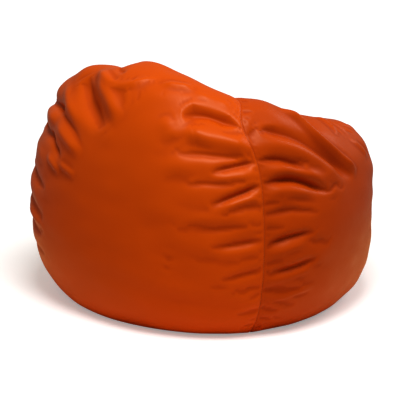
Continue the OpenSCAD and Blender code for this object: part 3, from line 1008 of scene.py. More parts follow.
LUMPS = (
    Fold(((127, 1.69),), 0.065, 0.019),
    Fold(((138, 1.84),), 0.060, 0.018),
    Fold(((127, 1.05),), 0.130, 0.014),
    Fold(((303, 1.42),), 0.110, 0.018),
    Fold(((302, 0.62),), 0.110, 0.014),
    Fold(((157, 2.00),), 0.040, -0.023),
    Fold(((184, 1.92),), 0.045, -0.003),
    Fold(((200, 1.92),), 0.045, -0.006),
    Fold(((251, 1.93),), 0.060, 0.011),
    Fold(((272, 1.84),), 0.040, -0.012),
    Fold(((300, 1.86),), 0.060, -0.010),
)

BACK_FOLDS = (
    Fold(((210, 1.56), (217, 1.62), (228, 1.635), (240, 1.60)), 0.030, -0.025, V, 0.3),
    Fold(((214, 1.56), (217, 1.53), (222, 1.51), (231, 1.505), (241, 1.485)), 0.024, 0.017, R, 0.25),
    Fold(((206, 1.59), (207, 1.52), (213, 1.47)), 0.024, 0.007, R, 0.4),
    Fold(((208, 1.40), (220, 1.415), (240, 1.43)), 0.018, -0.009, V),
    Fold(((203, 1.34), (220, 1.39), (238, 1.43)), 0.030, 0.007),
    Fold(((222, 1.34), (241, 1.42)), 0.012, -0.012, V),
    Fold(((222, 1.31), (240, 1.36)), 0.013, 0.007),
    Fold(((214, 1.285), (230, 1.30)), 0.007, -0.004, V),
    Fold(((222, 1.20), (231, 1.25), (241, 1.31)), 0.013, -0.016, V),
    Fold(((224, 1.19), (241, 1.265)), 0.014, 0.009),
    Fold(((212, 1.14), (241, 1.19)), 0.022, 0.005),
    Fold(((218, 1.11), (240, 1.13)), 0.010, -0.004, V),
    Fold(((222, 1.04), (241, 1.065)), 0.011, -0.007, V),
    Fold(((224, 1.01), (240, 1.035)), 0.016, 0.004),
    Fold(((226, 0.85), (241, 0.90)), 0.011, -0.006, V),
    Fold(((209, 1.03), (208, 0.90)), 0.022, -0.003, V),
    Fold(((148, 1.84), (163, 1.76), (174, 1.70), (184, 1.71), (193, 1.78), (200, 1.82)), 0.015, 0.011, R,
         0.3),
    Fold(((199, 1.77), (210, 1.80), (219, 1.83)), 0.014, 0.009),
    Fold(((217, 1.83), (221, 1.78), (229, 1.77), (240, 1.75)), 0.015, 0.006),
    Fold(((139, 1.81), (149, 1.71), (159, 1.60), (171, 1.49), (179, 1.40)), 0.034, -0.028, R, 0.4),
    Fold(((150, 1.84), (162, 1.73), (171, 1.64), (181, 1.54), (187, 1.45)), 0.024, 0.015, R, 0.4),
    Fold(((130, 1.73), (140, 1.64), (151, 1.54), (163, 1.45)), 0.020, 0.010, R, 0.4),
    Fold(((162, 1.90), (169, 1.83), (177, 1.80)), 0.016, -0.009, V, 0.4),
    Fold(((124, 1.60), (142, 1.52), (158, 1.43), (172, 1.33)), 0.014, -0.009, V, 0.4),
    Fold(((143, 1.46), (156, 1.385), (169, 1.32)), 0.016, 0.008),
    Fold(((137, 1.42), (147, 1.345), (157, 1.285)), 0.013, -0.014, V),
    Fold(((144, 1.30), (157, 1.23)), 0.012, 0.007),
    Fold(((154, 1.275), (167, 1.235)), 0.010, 0.005),
    Fold(((128, 1.04), (138, 1.02), (150, 1.00)), 0.010, 0.005),
)

SIDE_FOLDS = (
    Fold(((239, 1.60), (248, 1.61), (258, 1.585), (267, 1.48), (281, 1.27)), 0.030, -0.028, V, 0.25),
    Fold(((255, 1.88), (263, 1.79), (268, 1.62), (275, 1.47), (284, 1.30)), 0.013, 0.018, R, 0.2),
    Fold(((239, 1.53), (249, 1.53), (258, 1.49), (266, 1.41), (275, 1.27)), 0.027, 0.014, R, 0.25),
    Fold(((239, 1.42), (245, 1.435), (252, 1.42), (259, 1.36)), 0.015, -0.014, V),
    Fold(((239, 1.37), (249, 1.38), (258, 1.35), (267, 1.25)), 0.019, 0.011),
    Fold(((239, 1.29), (246, 1.325), (254, 1.32), (267, 1.23)), 0.014, -0.021, V),
    Fold(((239, 1.25), (248, 1.28), (260, 1.24)), 0.017, 0.009),
    Fold(((240, 1.175), (250, 1.18), (261, 1.15)), 0.012, -0.005, V),
    Fold(((240, 1.04), (248, 1.06), (258, 1.075)), 0.012, -0.014, V),
    Fold(((240, 1.00), (256, 1.035)), 0.013, 0.005),
    Fold(((241, 0.855), (250, 0.88), (260, 0.925)), 0.012, -0.012, V),
    Fold(((241, 0.80), (258, 0.86)), 0.012, 0.004),
    Fold(((242, 0.635), (260, 0.70)), 0.011, 0.005),
    Fold(((285, 1.99), (283, 1.60)), 0.010, 0.009),
    Fold(((288, 1.98), (287, 1.62)), 0.008, -0.011, V),
    Fold(((292, 1.98), (293, 1.60)), 0.011, 0.008),
    Fold(((296, 1.98), (299, 1.60)), 0.009, -0.012, V),
    Fold(((300, 1.98), (306, 1.58)), 0.012, 0.008),
    Fold(((289, 1.60), (297, 1.36)), 0.009, 0.006),
    Fold(((294, 1.58), (302, 1.34)), 0.008, -0.005, V),
)

RIGHT_SEAM_FOLDS = tuple(
    Fold(((116, stretch - 0.01), (126, stretch), (150, stretch - 0.05)), 0.017, -depth, V, 0.3)
    for stretch, depth in ((0.80, 0.006), (0.98, 0.008), (1.08, 0.008), (1.19, 0.010),
                           (1.41, 0.020), (1.565, 0.016))
) + tuple(
    Fold(((117, stretch), (128, stretch + 0.01), (146, stretch - 0.04)), 0.022, height, R, 0.3)
    for stretch, height in ((1.03, 0.004), (1.13, 0.005), (1.30, 0.006), (1.49, 0.010))
)

FAR_FOLDS = (
    Fold(((121, 1.58), (112, 1.60), (101, 1.57), (91, 1.46), (80, 1.28)), 0.028, -0.024, V, 0.25),
    Fold(((121, 1.50), (110, 1.52), (99, 1.47), (88, 1.34)), 0.026, 0.013, R, 0.25),
    Fold(((121, 1.36), (112, 1.39), (103, 1.35), (95, 1.28)), 0.014, -0.014, V),
    Fold(((121, 1.24), (111, 1.28), (99, 1.22)), 0.014, -0.013, V),
    Fold(((121, 1.19), (108, 1.22)), 0.016, 0.008),
    Fold(((120, 0.98), (105, 1.02)), 0.012, -0.010, V),
    Fold(((120, 0.82), (104, 0.88)), 0.011, -0.009, V),
    Fold(((74, 1.97), (76, 1.62)), 0.010, -0.008, V),
    Fold(((68, 1.98), (66, 1.60)), 0.011, 0.008),
    Fold(((62, 1.97), (58, 1.64)), 0.009, -0.007, V),
    Fold(((359, 1.62), (340, 1.57), (322, 1.46)), 0.022, -0.014, V),
    Fold(((358, 1.52), (338, 1.46), (318, 1.34)), 0.022, 0.010),
    Fold(((358, 1.36), (338, 1.30), (325, 1.22)), 0.014, -0.010, V),
    Fold(((357, 1.12), (338, 1.08)), 0.012, -0.008, V),
    Fold(((2, 1.66), (20, 1.60), (36, 1.46)), 0.020, -0.013, V),
    Fold(((2, 1.46), (22, 1.42), (40, 1.30)), 0.022, 0.010),
    Fold(((3, 1.30), (20, 1.27), (32, 1.20)), 0.013, -0.010, V),
    Fold(((2, 1.02), (20, 1.00)), 0.012, -0.008, V),
    Fold(((3, 0.86), (18, 0.83)), 0.011, -0.006, V),
)

HOLLOW_FOLDS = (
    Fold(((150, 2.42), (172, 2.30), (196, 2.32), (214, 2.46)), 0.022, -0.018, V, 0.3),
    Fold(((146, 2.36), (172, 2.20), (198, 2.22), (220, 2.40)), 0.024, 0.012, R, 0.3),
    Fold(((158, 2.60), (180, 2.50), (204, 2.58)), 0.014, -0.010, V),
    Fold(((96, 2.34), (112, 2.44), (126, 2.60)), 0.020, -0.014, V),
    Fold(((86, 2.26), (104, 2.36), (120, 2.50)), 0.020, 0.009),
    Fold(((262, 2.30), (248, 2.42), (236, 2.58)), 0.020, -0.014, V),
    Fold(((274, 2.22), (258, 2.34), (242, 2.50)), 0.020, 0.009),
    Fold(((330, 2.10), (345, 2.36), (352, 2.62)), 0.018, -0.010, V),
    Fold(((30, 2.12), (18, 2.38), (10, 2.60)), 0.018, -0.010, V),
    Fold(((55, 2.15), (46, 2.45)), 0.016, 0.007),
    Fold(((305, 2.15), (314, 2.45)), 0.016, 0.007),
    Fold(((70, 2.20), (66, 2.48)), 0.014, -0.009, V),
    Fold(((290, 2.20), (294, 2.46)), 0.014, -0.009, V),
)

UNEVEN = (
    Lumps(5, 0.34, 0.0035),
    Lumps(9, 0.11, 0.0011, 1.5),
)

GATHERS = (
    SeamGathers(0, 11, 0.030, 0.0042, 0.055, 0.055),
    SeamGathers(120, 23, 0.030, 0.0048, 0.045, 0.070),
    SeamGathers(240, 37, 0.024, 0.0030, 0.035, 0.060),
)


# ---------------------------------------------------------------- slack cloth


@dataclass(frozen=True)
class SlackMap:
    """How far slack cloth stands off the folded form, at a grid of azimuths and stretches."""

    azimuths: np.ndarray
    stretches: np.ndarray
    heights: np.ndarray

    def lift(self, a: np.ndarray, s: np.ndarray) -> np.ndarray:
        """The height at azimuths a and stretches s, in metres."""
        count = len(self.azimuths)
        column = (a % 360.0) / 360.0 * count
        row = np.interp(s, self.stretches, np.arange(len(self.stretches)))
        i, j = np.floor(column).astype(int), np.floor(row).astype(int)
        j = np.clip(j, 0, len(self.stretches) - 2)
        u, v = column - i, row - j
        i, k = i % count, (i + 1) % count
        h = self.heights
        return ((1 - u) * ((1 - v) * h[i, j] + v * h[i, j + 1])
                + u * ((1 - v) * h[k, j] + v * h[k, j + 1]))


@dataclass
class SlackCloth:
    """A cloth simulation of the cover, cut a little too tall for the bag and drawn in at its seams.

    Attributes:
        relief: The folds that the cloth starts from.
        extra_height: Share by which the cloth is taller than the bag.
        seam_draw: Share by which the seams' thread is shorter than the cloth.
        most: The furthest that a point may move off the folds, in metres.
        hold: How firmly the cloth is held to the folds, from 0 to 1.
        columns: Points round the bag.
        rows: Points up the belly, over the shoulder and down the hollow.
        frames: Frames that it settles for.
        pressure: Pressure from inside.
        seam_width: Half width of a drawn-in seam, in degrees.
        top: Stretch at which the cloth ends, in the hollow.
        edge: Stretch of the strips that are held fast at both ends.
    """

    relief: Relief
    extra_height: float = 0.05
    seam_draw: float = 0.06
    most: float = 0.020
    hold: float = 0.12
    columns: int = 300
    rows: tuple[int, int, int] = (34, 64, 34)
    frames: int = 20
    pressure: float = 4.0
    seam_width: float = 1.0
    top: float = 2.76
    edge: float = 0.02

    SETTINGS = (("quality", 5), ("mass", 0.25), ("compression_stiffness", 20.0),
                ("tension_stiffness", 20.0), ("shear_stiffness", 8.0), ("bending_stiffness", 1.2))

    def run(self) -> SlackMap:
        """Simulate, and return how far the cloth ends off the folds."""
        form = self.relief.form
        s = np.concatenate([np.linspace(0, 1, self.rows[0], endpoint=False),
                            np.linspace(1, 2, self.rows[1], endpoint=False),
                            np.linspace(2, self.top, self.rows[2])])
        a = np.linspace(0, 360, self.columns, endpoint=False)
        grid_a, grid_s = np.meshgrid(a, s, indexing="ij")
        start = self.relief.surface(grid_a, grid_s)
        number = np.arange(start.shape[0] * start.shape[1]).reshape(start.shape[:2])
        cloth = new_object("slack_cloth", start.reshape(-1, 3), quads(number, True))
        self.prepare(cloth, start, grid_a, grid_s)
        ended = self.simulate(cloth, len(number.ravel())).reshape(start.shape)
        bpy.data.objects.remove(cloth)
        moved = np.einsum("ijk,ijk->ij", ended - start, form.normal(grid_a, grid_s))
        LOG.info("slack cloth: moved %.1f to %.1f mm", moved.min() / MM, moved.max() / MM)
        moved = self.most * np.tanh((moved - np.median(moved)) / self.most)
        return SlackMap(a, s, moved)

    def prepare(self, cloth: bpy.types.Object, start: np.ndarray, a: np.ndarray, s: np.ndarray
                ) -> None:
        """Add the taller rest shape, the held edges and the drawn-in seams."""
        cloth.shape_key_add(name="Basis")
        rest = cloth.shape_key_add(name="cut")
        cut = start.copy()
        cut[..., 2] *= 1 + self.extra_height
        rest.data.foreach_set("co", cut.astype(np.float32).ravel())
        edge = (s < self.edge) | (s > self.top - self.edge)
        held = np.where(edge, 1.0, self.hold)
        turn = np.abs((a + GORE_ANGLE / 2) % GORE_ANGLE - GORE_ANGLE / 2)
        seam = np.exp(-((turn / self.seam_width) ** 2))
        for name, weights in (("held", held), ("drawn", seam)):
            group = cloth.vertex_groups.new(name=name)
            levels = np.round(weights.ravel(), 2)
            for level in np.unique(levels):
                if level > 0:
                    group.add(np.nonzero(levels == level)[0].tolist(), float(level), "REPLACE")
        modifier = cloth.modifiers.new("cloth", "CLOTH")
        settings = modifier.settings
        for name, value in self.SETTINGS:
            setattr(settings, name, value)
        settings.rest_shape_key = rest
        settings.vertex_group_mass = "held"
        settings.pin_stiffness = 1.0
        settings.vertex_group_shrink = "drawn"
        settings.shrink_min, settings.shrink_max = 0.0, self.seam_draw
        settings.use_pressure = True
        settings.uniform_pressure_force = self.pressure
        settings.effector_weights.gravity = 0.0
        modifier.collision_settings.use_collision = False
        modifier.point_cache.frame_start, modifier.point_cache.frame_end = 1, self.frames

    def simulate(self, cloth: bpy.types.Object, count: int) -> np.ndarray:
        """Step through the frames and return the points where the cloth ends."""
        scene = bpy.context.scene
        for frame_number in range(1, self.frames + 1):
            scene.frame_set(frame_number)
        ended = cloth.evaluated_get(bpy.context.evaluated_depsgraph_get()).data
        points = np.empty(count * 3, np.float32)
        ended.vertices.foreach_get("co", points)
        scene.frame_set(1)
        return points.astype(float).reshape(-1, 3)


# ---------------------------------------------------------------- grids over the bag


def gore_grid(form: BagForm, seam: float, columns: int, rows: tuple[int, int, int], gap: float
              ) -> tuple[np.ndarray, np.ndarray]:
    """Azimuths and stretches of a gore's points, closer together beside its seams.

    Args:
        form: The bag's smooth form.
        seam: Azimuth of the gore's first seam.
        columns: Points across the gore.
        rows: Points up the belly, over the shoulder and down the hollow.
        gap: Width of the gap between two gores.

    Returns:
        The azimuths and the stretches, columns by rows.
    """
    crowding, middle_span = 0.45, 0.8
    u = np.linspace(0, 1, columns)
    u = u - crowding * np.sin(2 * np.pi * u) / (2 * np.pi)
    rise = np.concatenate([np.linspace(0, 1, rows[0], endpoint=False),
                           np.linspace(1, 2, rows[1], endpoint=False)])
    down = np.linspace(0, 1, rows[2])
    plain = np.concatenate([rise, 2 + middle_span * down])
    trim = np.degrees(gap / 2 / form.radius(np.full_like(plain, seam), plain))
    a = seam + trim[None] + (GORE_ANGLE - 2 * trim[None]) * u[:, None]
    edge = form.cap_edge(a[:, -1:], form.cap_r + gap / 2)
    s = np.concatenate([np.broadcast_to(rise, (columns, len(rise))),
                        2 + (edge - 2) * down[None]], axis=1)
    return a, s


def cap_grid(form: BagForm, gap: float, columns: int, rings: int
             ) -> tuple[np.ndarray, np.ndarray, np.ndarray]:
    """Azimuths, stretches and radii of the round cap's points, from its edge to its middle."""
    a = np.linspace(0, 360, columns, endpoint=False)
    radius = np.linspace(form.cap_r - gap / 2, 0.4 * MM, rings)
    a, radius = np.meshgrid(a, radius, indexing="ij")
    return a, 3.0 - radius / form.around(form.rim_r, a), radius


def grid_area(points: np.ndarray, wrap: bool = False) -> float:
    """Area of a grid of points, closed round on itself where wrap is set."""
    if wrap:
        points = np.concatenate([points, points[:1]])
    across = points[1:, :-1] - points[:-1, :-1]
    up = points[:-1, 1:] - points[:-1, :-1]
    return float(np.linalg.norm(np.cross(across, up), axis=-1).sum())


def layer_depth(s: np.ndarray, foot: float, full: float) -> np.ndarray:
    """Depth of a layer below the cover's outside: foot at the floor, full above the belly's start."""
    return foot + (full - foot) * smooth(s / FOOT_FADE)


def lowered(lift: np.ndarray, reach: int, wrap: bool = False) -> np.ndarray:
    """The lowest lift within a reach of each point, so that a layer clears the one above."""
    for axis in (0, 1):
        moved = [lift]
        for step in range(-reach, reach + 1):
            copy = np.roll(lift, step, axis)
            if step and not (wrap and axis == 0):
                edge = [slice(None), slice(None)]
                edge[axis] = slice(0, step) if step > 0 else slice(step, None)
                copy[tuple(edge)] = lift[tuple(edge)]
            moved.append(copy)
        lift = np.min(moved, axis=0)
    return lift


@dataclass(frozen=True)
class BaseCut:
    """The sizes of a base: two halves that rise to flat lips beside a zip.

    Attributes:
        floor_z: Height of the flat part's underside.
        lip_z: Height of the lips' underside.
        lip_w: Width of a lip.
        cloth: Thickness of the cloth.
        gap: Gap at a seam.
    """

    floor_z: float
    lip_z: float
    lip_w: float
    cloth: float
    gap: float
    window_y: float = 6.4 * MM
    window_x: float = 284 * MM
    ramp: float = 12 * MM

    def height(self, y: np.ndarray) -> np.ndarray:
        """Height of the underside at a distance from the zip's line."""
        run = (np.abs(y) - self.window_y - self.lip_w) / self.ramp
        return self.lip_z + (self.floor_z - self.lip_z) * smooth(run)

    def grid(self, form: BagForm, side: int, columns: int) -> np.ndarray:
        """Points of one half's underside.

        Args:
            form: The bag's smooth form.
            side: -1 for the front half, 1 for the rear half.
            columns: Points along the zip.

        Returns:
            Points whose normals look down, columns by rows.
        """
        a = np.linspace(0, 90, 361) if side < 0 else np.linspace(180, 90, 361)
        r = form.radius(a, np.zeros_like(a)) - self.gap
        outline_x = r * np.sin(np.radians(a))
        outline_y = np.abs(r * np.cos(np.radians(a)))
        far = float(outline_y.max())
        slope = self.window_y + self.lip_w
        y = np.concatenate([
            np.linspace(self.window_y, slope, 10, endpoint=False),
            np.linspace(slope, slope + self.ramp, 10, endpoint=False),
            slope + self.ramp + (far - 0.3 * MM - slope - self.ramp)
            * np.sin(np.linspace(0, np.pi / 2, 46)),
        ])
        half = np.interp(y, outline_y[::-1], outline_x[::-1])
        x = np.linspace(-1, 1, columns)[:, None] * half[None]
        past = smooth((np.abs(x) - self.window_x) / (2 * MM))
        near = self.window_y - (self.window_y - self.gap / 2) * past
        share = np.clip((y - self.window_y) / self.lip_w, 0, 1)
        grid_y = np.where(y < slope, near + (slope - near) * share, y)
        points = np.stack([x, form.axis_y + side * grid_y, self.height(grid_y)], -1)
        return points if side < 0 else points[::-1]


# ---------------------------------------------------------------- cover and liner


@dataclass
class Shell:
    """A skin of the bag: three gores, a round cap in the hollow and two base halves.

    Attributes:
        relief: The folded form that the skin follows.
        finishes: The object's materials.
        cloth: Thickness of the cloth.
        gap: Gap at a seam.
        columns: Points across a gore.
        rows: Points up a gore's belly, over its shoulder and down the hollow.
        cap_size: Points round the cap, and from its edge to its middle.
        base: How the base is cut.
        base_columns: Points along a base half.
        stitching: The thread of its seams.
    """

    relief: Relief
    finishes: Finishes
    cloth: float
    gap: float
    columns: int
    rows: tuple[int, int, int]
    cap_size: tuple[int, int]
    base: BaseCut
    base_columns: int
    stitching: Stitching

    NODE = "shell"
    CLOTH = "cloth"
    GORES = (("back", 120), ("left", 240), ("right", 0))
    HALVES = (("front", -1), ("rear", 1))
    FILL = ["bead_fill"]

    def gore_skin(self, a: np.ndarray, s: np.ndarray, seam: float) -> np.ndarray:
        """The outside of the gore that begins at a seam."""
        raise NotImplementedError

    def cap_skin(self, a: np.ndarray, s: np.ndarray, radius: np.ndarray) -> np.ndarray:
        """The outside of the cap."""
        raise NotImplementedError

    def finish_of(self, part: str) -> tuple[bpy.types.Material, str]:
        """The material and the material slot of a part."""
        raise NotImplementedError

    def sheet(self, part: str, outer: np.ndarray, area: float,
              wrap: bool = False) -> None:
        """Make one piece of the skin and dress it.

        Args:
            part: The end of its CAD node's name.
            outer: Grid of points of its outside.
            area: Area of the flat cloth; not used.
            wrap: Whether the piece closes round on itself.
        """
        node = f"{self.NODE}_{part}"
        made = sheet_solid(f"{node}_{self.CLOTH}", outer, self.cloth, wrap)
        place(made, *self.finish_of(part), node)

    def gore(self, name: str, seam: float) -> tuple[np.ndarray, np.ndarray]:
        """One gore, from the foot to the cap.

        Args:
            name: Which gore it is.
            seam: Azimuth of its first seam.

        Returns:
            Its edge along that seam, and the way out of the bag there.
        """
        form = self.relief.form
        a, s = gore_grid(form, seam, self.columns, self.rows, self.gap)
        outer = self.gore_skin(a, s, seam)
        cut = form.point(a, s)
        length = float(run_length(cut[self.columns // 2]).max())
        self.sheet(f"panel_{name}", outer, grid_area(cut))
        return outer[0], form.normal(a[0], s[0])

    def cap(self) -> tuple[np.ndarray, np.ndarray]:
        """The round cap in the hollow.

        Returns:
            Its edge, and the way out of the bag there.
        """
        form = self.relief.form
        a, s, radius = cap_grid(form, self.gap, *self.cap_size)
        outer = self.cap_skin(a, s, radius)
        area = grid_area(outer, True)
        self.sheet("cap", outer, area, wrap=True)
        return outer[:, 0], form.normal(a, s)[:, 0]

    def base_half(self, name: str, side: int) -> None:
        """One half of the base, which lies flat and rises to the zip's lip."""
        points = self.base.grid(self.relief.form, side, self.base_columns)
        low, high = points.reshape(-1, 3).min(0), points.reshape(-1, 3).max(0)
        flat = float(high[0] - low[0]), float(high[1] - low[1])
        self.sheet(f"base_{name}", points, grid_area(points))


@dataclass
class CoverShell(Shell):
    """The outer cover: three gores, a cap, two base halves and the thread that joins them.

    Attributes:
        groove_depth: How deep the cloth rolls in at a seam.
        groove_width: How far from the seam it begins to.
        cap_crown: How far the cap's middle stands up.
        foot_share: Where the base ring's thread runs, as a share of the foot's radius.
        foot_thread_z: Height of that thread.
        thread_sink: How far a gore seam's thread lies below its groove.
    """

    cloth: float = 1.2 * MM
    gap: float = 0.5 * MM
    columns: int = 270
    rows: tuple[int, int, int] = (76, 140, 90)
    cap_size: tuple[int, int] = (180, 40)
    base: BaseCut = BaseCut(0.0, 7 * MM, 28 * MM, 1.2 * MM, 1.0 * MM)
    base_columns: int = 240
    stitching: Stitching = Stitching(0.8 * MM, 5.5 * MM, 0.86, 0.5 * MM)
    groove_depth: float = 2.6 * MM
    groove_width: float = 4.2 * MM
    cap_crown: float = 4 * MM
    foot_share: float = 0.99875
    foot_thread_z: float = 0.6 * MM
    thread_sink: float = 0.2 * MM

    NODE = "cover"
    CLOTH = "leather"
    # The gore that takes the darker copy of the cover's finish, which is painted shade.
    SHADED_PANEL = "panel_left"
    THREADS = (("left", 240), ("right", 120), ("front", 0))

    def build(self) -> None:
        """Make every piece of the cover."""
        for name, seam in self.GORES:
            self.gore(name, seam)
        for name, seam in self.THREADS:
            node = f"seam_thread_{name}"
            self.sew(self.stitching, node + "_stitches", node, self.seam_line(seam))
        self.cap()
        self.sew(replace(self.stitching, arch=0.4 * MM), "cap_thread_stitches", "cap_thread",
                 self.cap_line())
        for name, side in self.HALVES:
            self.base_half(name, side)
        ring = replace(self.stitching, diameter=self.stitching.diameter * 0.9, arch=0.1 * MM)
        self.sew(ring, "base_ring_stitches", "base_ring_thread", self.foot_line())
        self.sew(replace(self.stitching, arch=0.3 * MM), "base_join_stitches", "base_join_thread",
                 self.join_line(-1), self.join_line(1))

    def sew(self, stitching: Stitching, name: str, node: str, *lines: tuple[np.ndarray, np.ndarray]
            ) -> None:
        """One seam's stitches, in the cover's thread."""
        stitching.sew(name, node, lines, self.finishes.thread, "thread")

    def finish_of(self, part: str) -> tuple[bpy.types.Material, str]:
        """The material and the material slot of a part."""
        if part.startswith("base"):
            return self.finishes.base, "cover_base"
        # The left gore gets the darker copy of the finish as painted shade.
        return (self.finishes.cover_painted_shade if part == self.SHADED_PANEL else self.finishes.cover), "cover"

    def groove(self, distance: np.ndarray) -> np.ndarray:
        """How far the cloth rolls inwards at a distance from its sewn edge."""
        near = np.clip(1 - distance / self.groove_width, 0, 1)
        return self.groove_depth * (1 - np.sqrt(1 - near * near))

    def gore_skin(self, a: np.ndarray, s: np.ndarray, seam: float) -> np.ndarray:
        """The folded outside of a gore, rolled in along its seams and at the cap."""
        form = self.relief.form
        r = form.radius(a, s)
        aside = np.radians(np.minimum(a - seam, seam + GORE_ANGLE - a)) * r - self.gap / 2
        roll = self.groove(aside) + self.groove(r - form.cap_r) * (s > 2)
        outer = self.relief.surface(a, s) - roll[..., None] * form.normal(a, s)
        outer[..., 2] = np.maximum(outer[..., 2], OFF_FLOOR)
        return outer

    def cap_skin(self, a: np.ndarray, s: np.ndarray, radius: np.ndarray) -> np.ndarray:
        """The outside of the cap, a little crowned and rolled in at its edge."""
        form = self.relief.form
        outer = form.point(a, s)
        roll = self.groove(form.cap_r - self.gap / 2 - radius)
        outer[..., 2] += self.cap_crown * (1 - (radius / form.cap_r) ** 2) - roll
        return outer

    def seam_line(self, seam: float) -> tuple[np.ndarray, np.ndarray]:
        """The bottom of a gore seam's groove, and the way out of it."""
        s = np.linspace(0.04, 2.76, 900)
        a = np.full_like(s, seam)
        points = self.relief.surface(a[None], s[None], self.groove_depth + self.thread_sink)[0]
        return points, self.relief.form.normal(a, s)

    def cap_line(self) -> tuple[np.ndarray, np.ndarray]:
        """The bottom of the groove round the cap, and the way out of it."""
        form = self.relief.form
        a = np.linspace(0, 360, 361)
        s = form.cap_edge(a, form.cap_r)
        out = form.normal(a, s)
        return form.point(a, s) - self.groove_depth * out, out

    def foot_line(self) -> tuple[np.ndarray, np.ndarray]:
        """A line round the foot, a little inside the edge and just above the floor."""
        form = self.relief.form
        a = np.linspace(0, 360, 721)
        line = form.point(a, np.zeros_like(a))
        middle = np.array([0, form.axis_y, 0])
        line = middle + (line - middle) * self.foot_share
        line[:, 2] = self.foot_thread_z
        return line, np.tile([0.0, 0.0, 1.0], (len(a), 1))

    def join_line(self, side: int) -> tuple[np.ndarray, np.ndarray]:
        """The seam that joins the base halves past one end of the zip, and the way down from it."""
        form = self.relief.form
        end = float(form.radius(np.array(90.0), np.array(0.0))) - 3 * MM
        x = np.linspace(self.base.window_x, end, 40)
        line = np.stack([side * x, np.full_like(x, form.axis_y),
                         np.full_like(x, self.base.lip_z + self.cloth / 2)], 1)
        return line, np.tile([0.0, 0.0, -1.0], (len(x), 1))


@dataclass
class Liner(Shell):
    """The thin liner under the cover: three gores, a cap, two base halves and their thread.

    Attributes:
        foot_depth: Its depth below the cover's outside at the foot.
        depth: Its depth everywhere else.
    """

    cloth: float = 0.4 * MM
    gap: float = 0.3 * MM
    columns: int = 150
    rows: tuple[int, int, int] = (40, 90, 56)
    cap_size: tuple[int, int] = (120, 24)
    base: BaseCut = BaseCut(3 * MM, 15.6 * MM, 32 * MM, 0.4 * MM, 0.6 * MM)
    base_columns: int = 160
    stitching: Stitching = Stitching(0.4 * MM, 4 * MM, 0.8, 0.15 * MM)
    foot_depth: float = 3 * MM
    depth: float = 5.6 * MM

    NODE = "liner"

    def build(self) -> None:
        """Make every piece of the liner."""
        edges = [self.gore(name, seam) for name, seam in self.GORES]
        edges.append(self.cap())
        for name, side in self.HALVES:
            self.base_half(name, side)
        lines = [(edge - self.cloth / 2 * out, out) for edge, out in edges]
        lines.append(self.foot_line())
        self.stitching.sew("liner_stitches", "liner_thread", lines, self.finishes.liner_thread,
                           "liner")

    def finish_of(self, part: str) -> tuple[bpy.types.Material, str]:
        """The material and the material slot of any part."""
        return self.finishes.liner, "liner"

    def gore_skin(self, a: np.ndarray, s: np.ndarray, seam: float) -> np.ndarray:
        """The outside of a gore, which follows the cover's folds from below."""
        lift = lowered(self.relief.lift(a, s), 1)
        return self.relief.at_depth(a, s, lift, layer_depth(s, self.foot_depth, self.depth))

    def cap_skin(self, a: np.ndarray, s: np.ndarray, radius: np.ndarray) -> np.ndarray:
        """The outside of the cap, at the liner's full depth."""
        form = self.relief.form
        return form.point(a, s) - self.depth * form.normal(a, s)

    def foot_line(self) -> tuple[np.ndarray, np.ndarray]:
        """The line of the seam round the liner's foot, and the way down from it."""
        a = np.linspace(0, 360, 721)
        line = self.relief.form.point(a, np.zeros_like(a))
        line[:, 2] = self.foot_depth + self.cloth / 2
        return line, np.tile([0.0, 0.0, -1.0], (len(a), 1))


# ---------------------------------------------------------------- beads


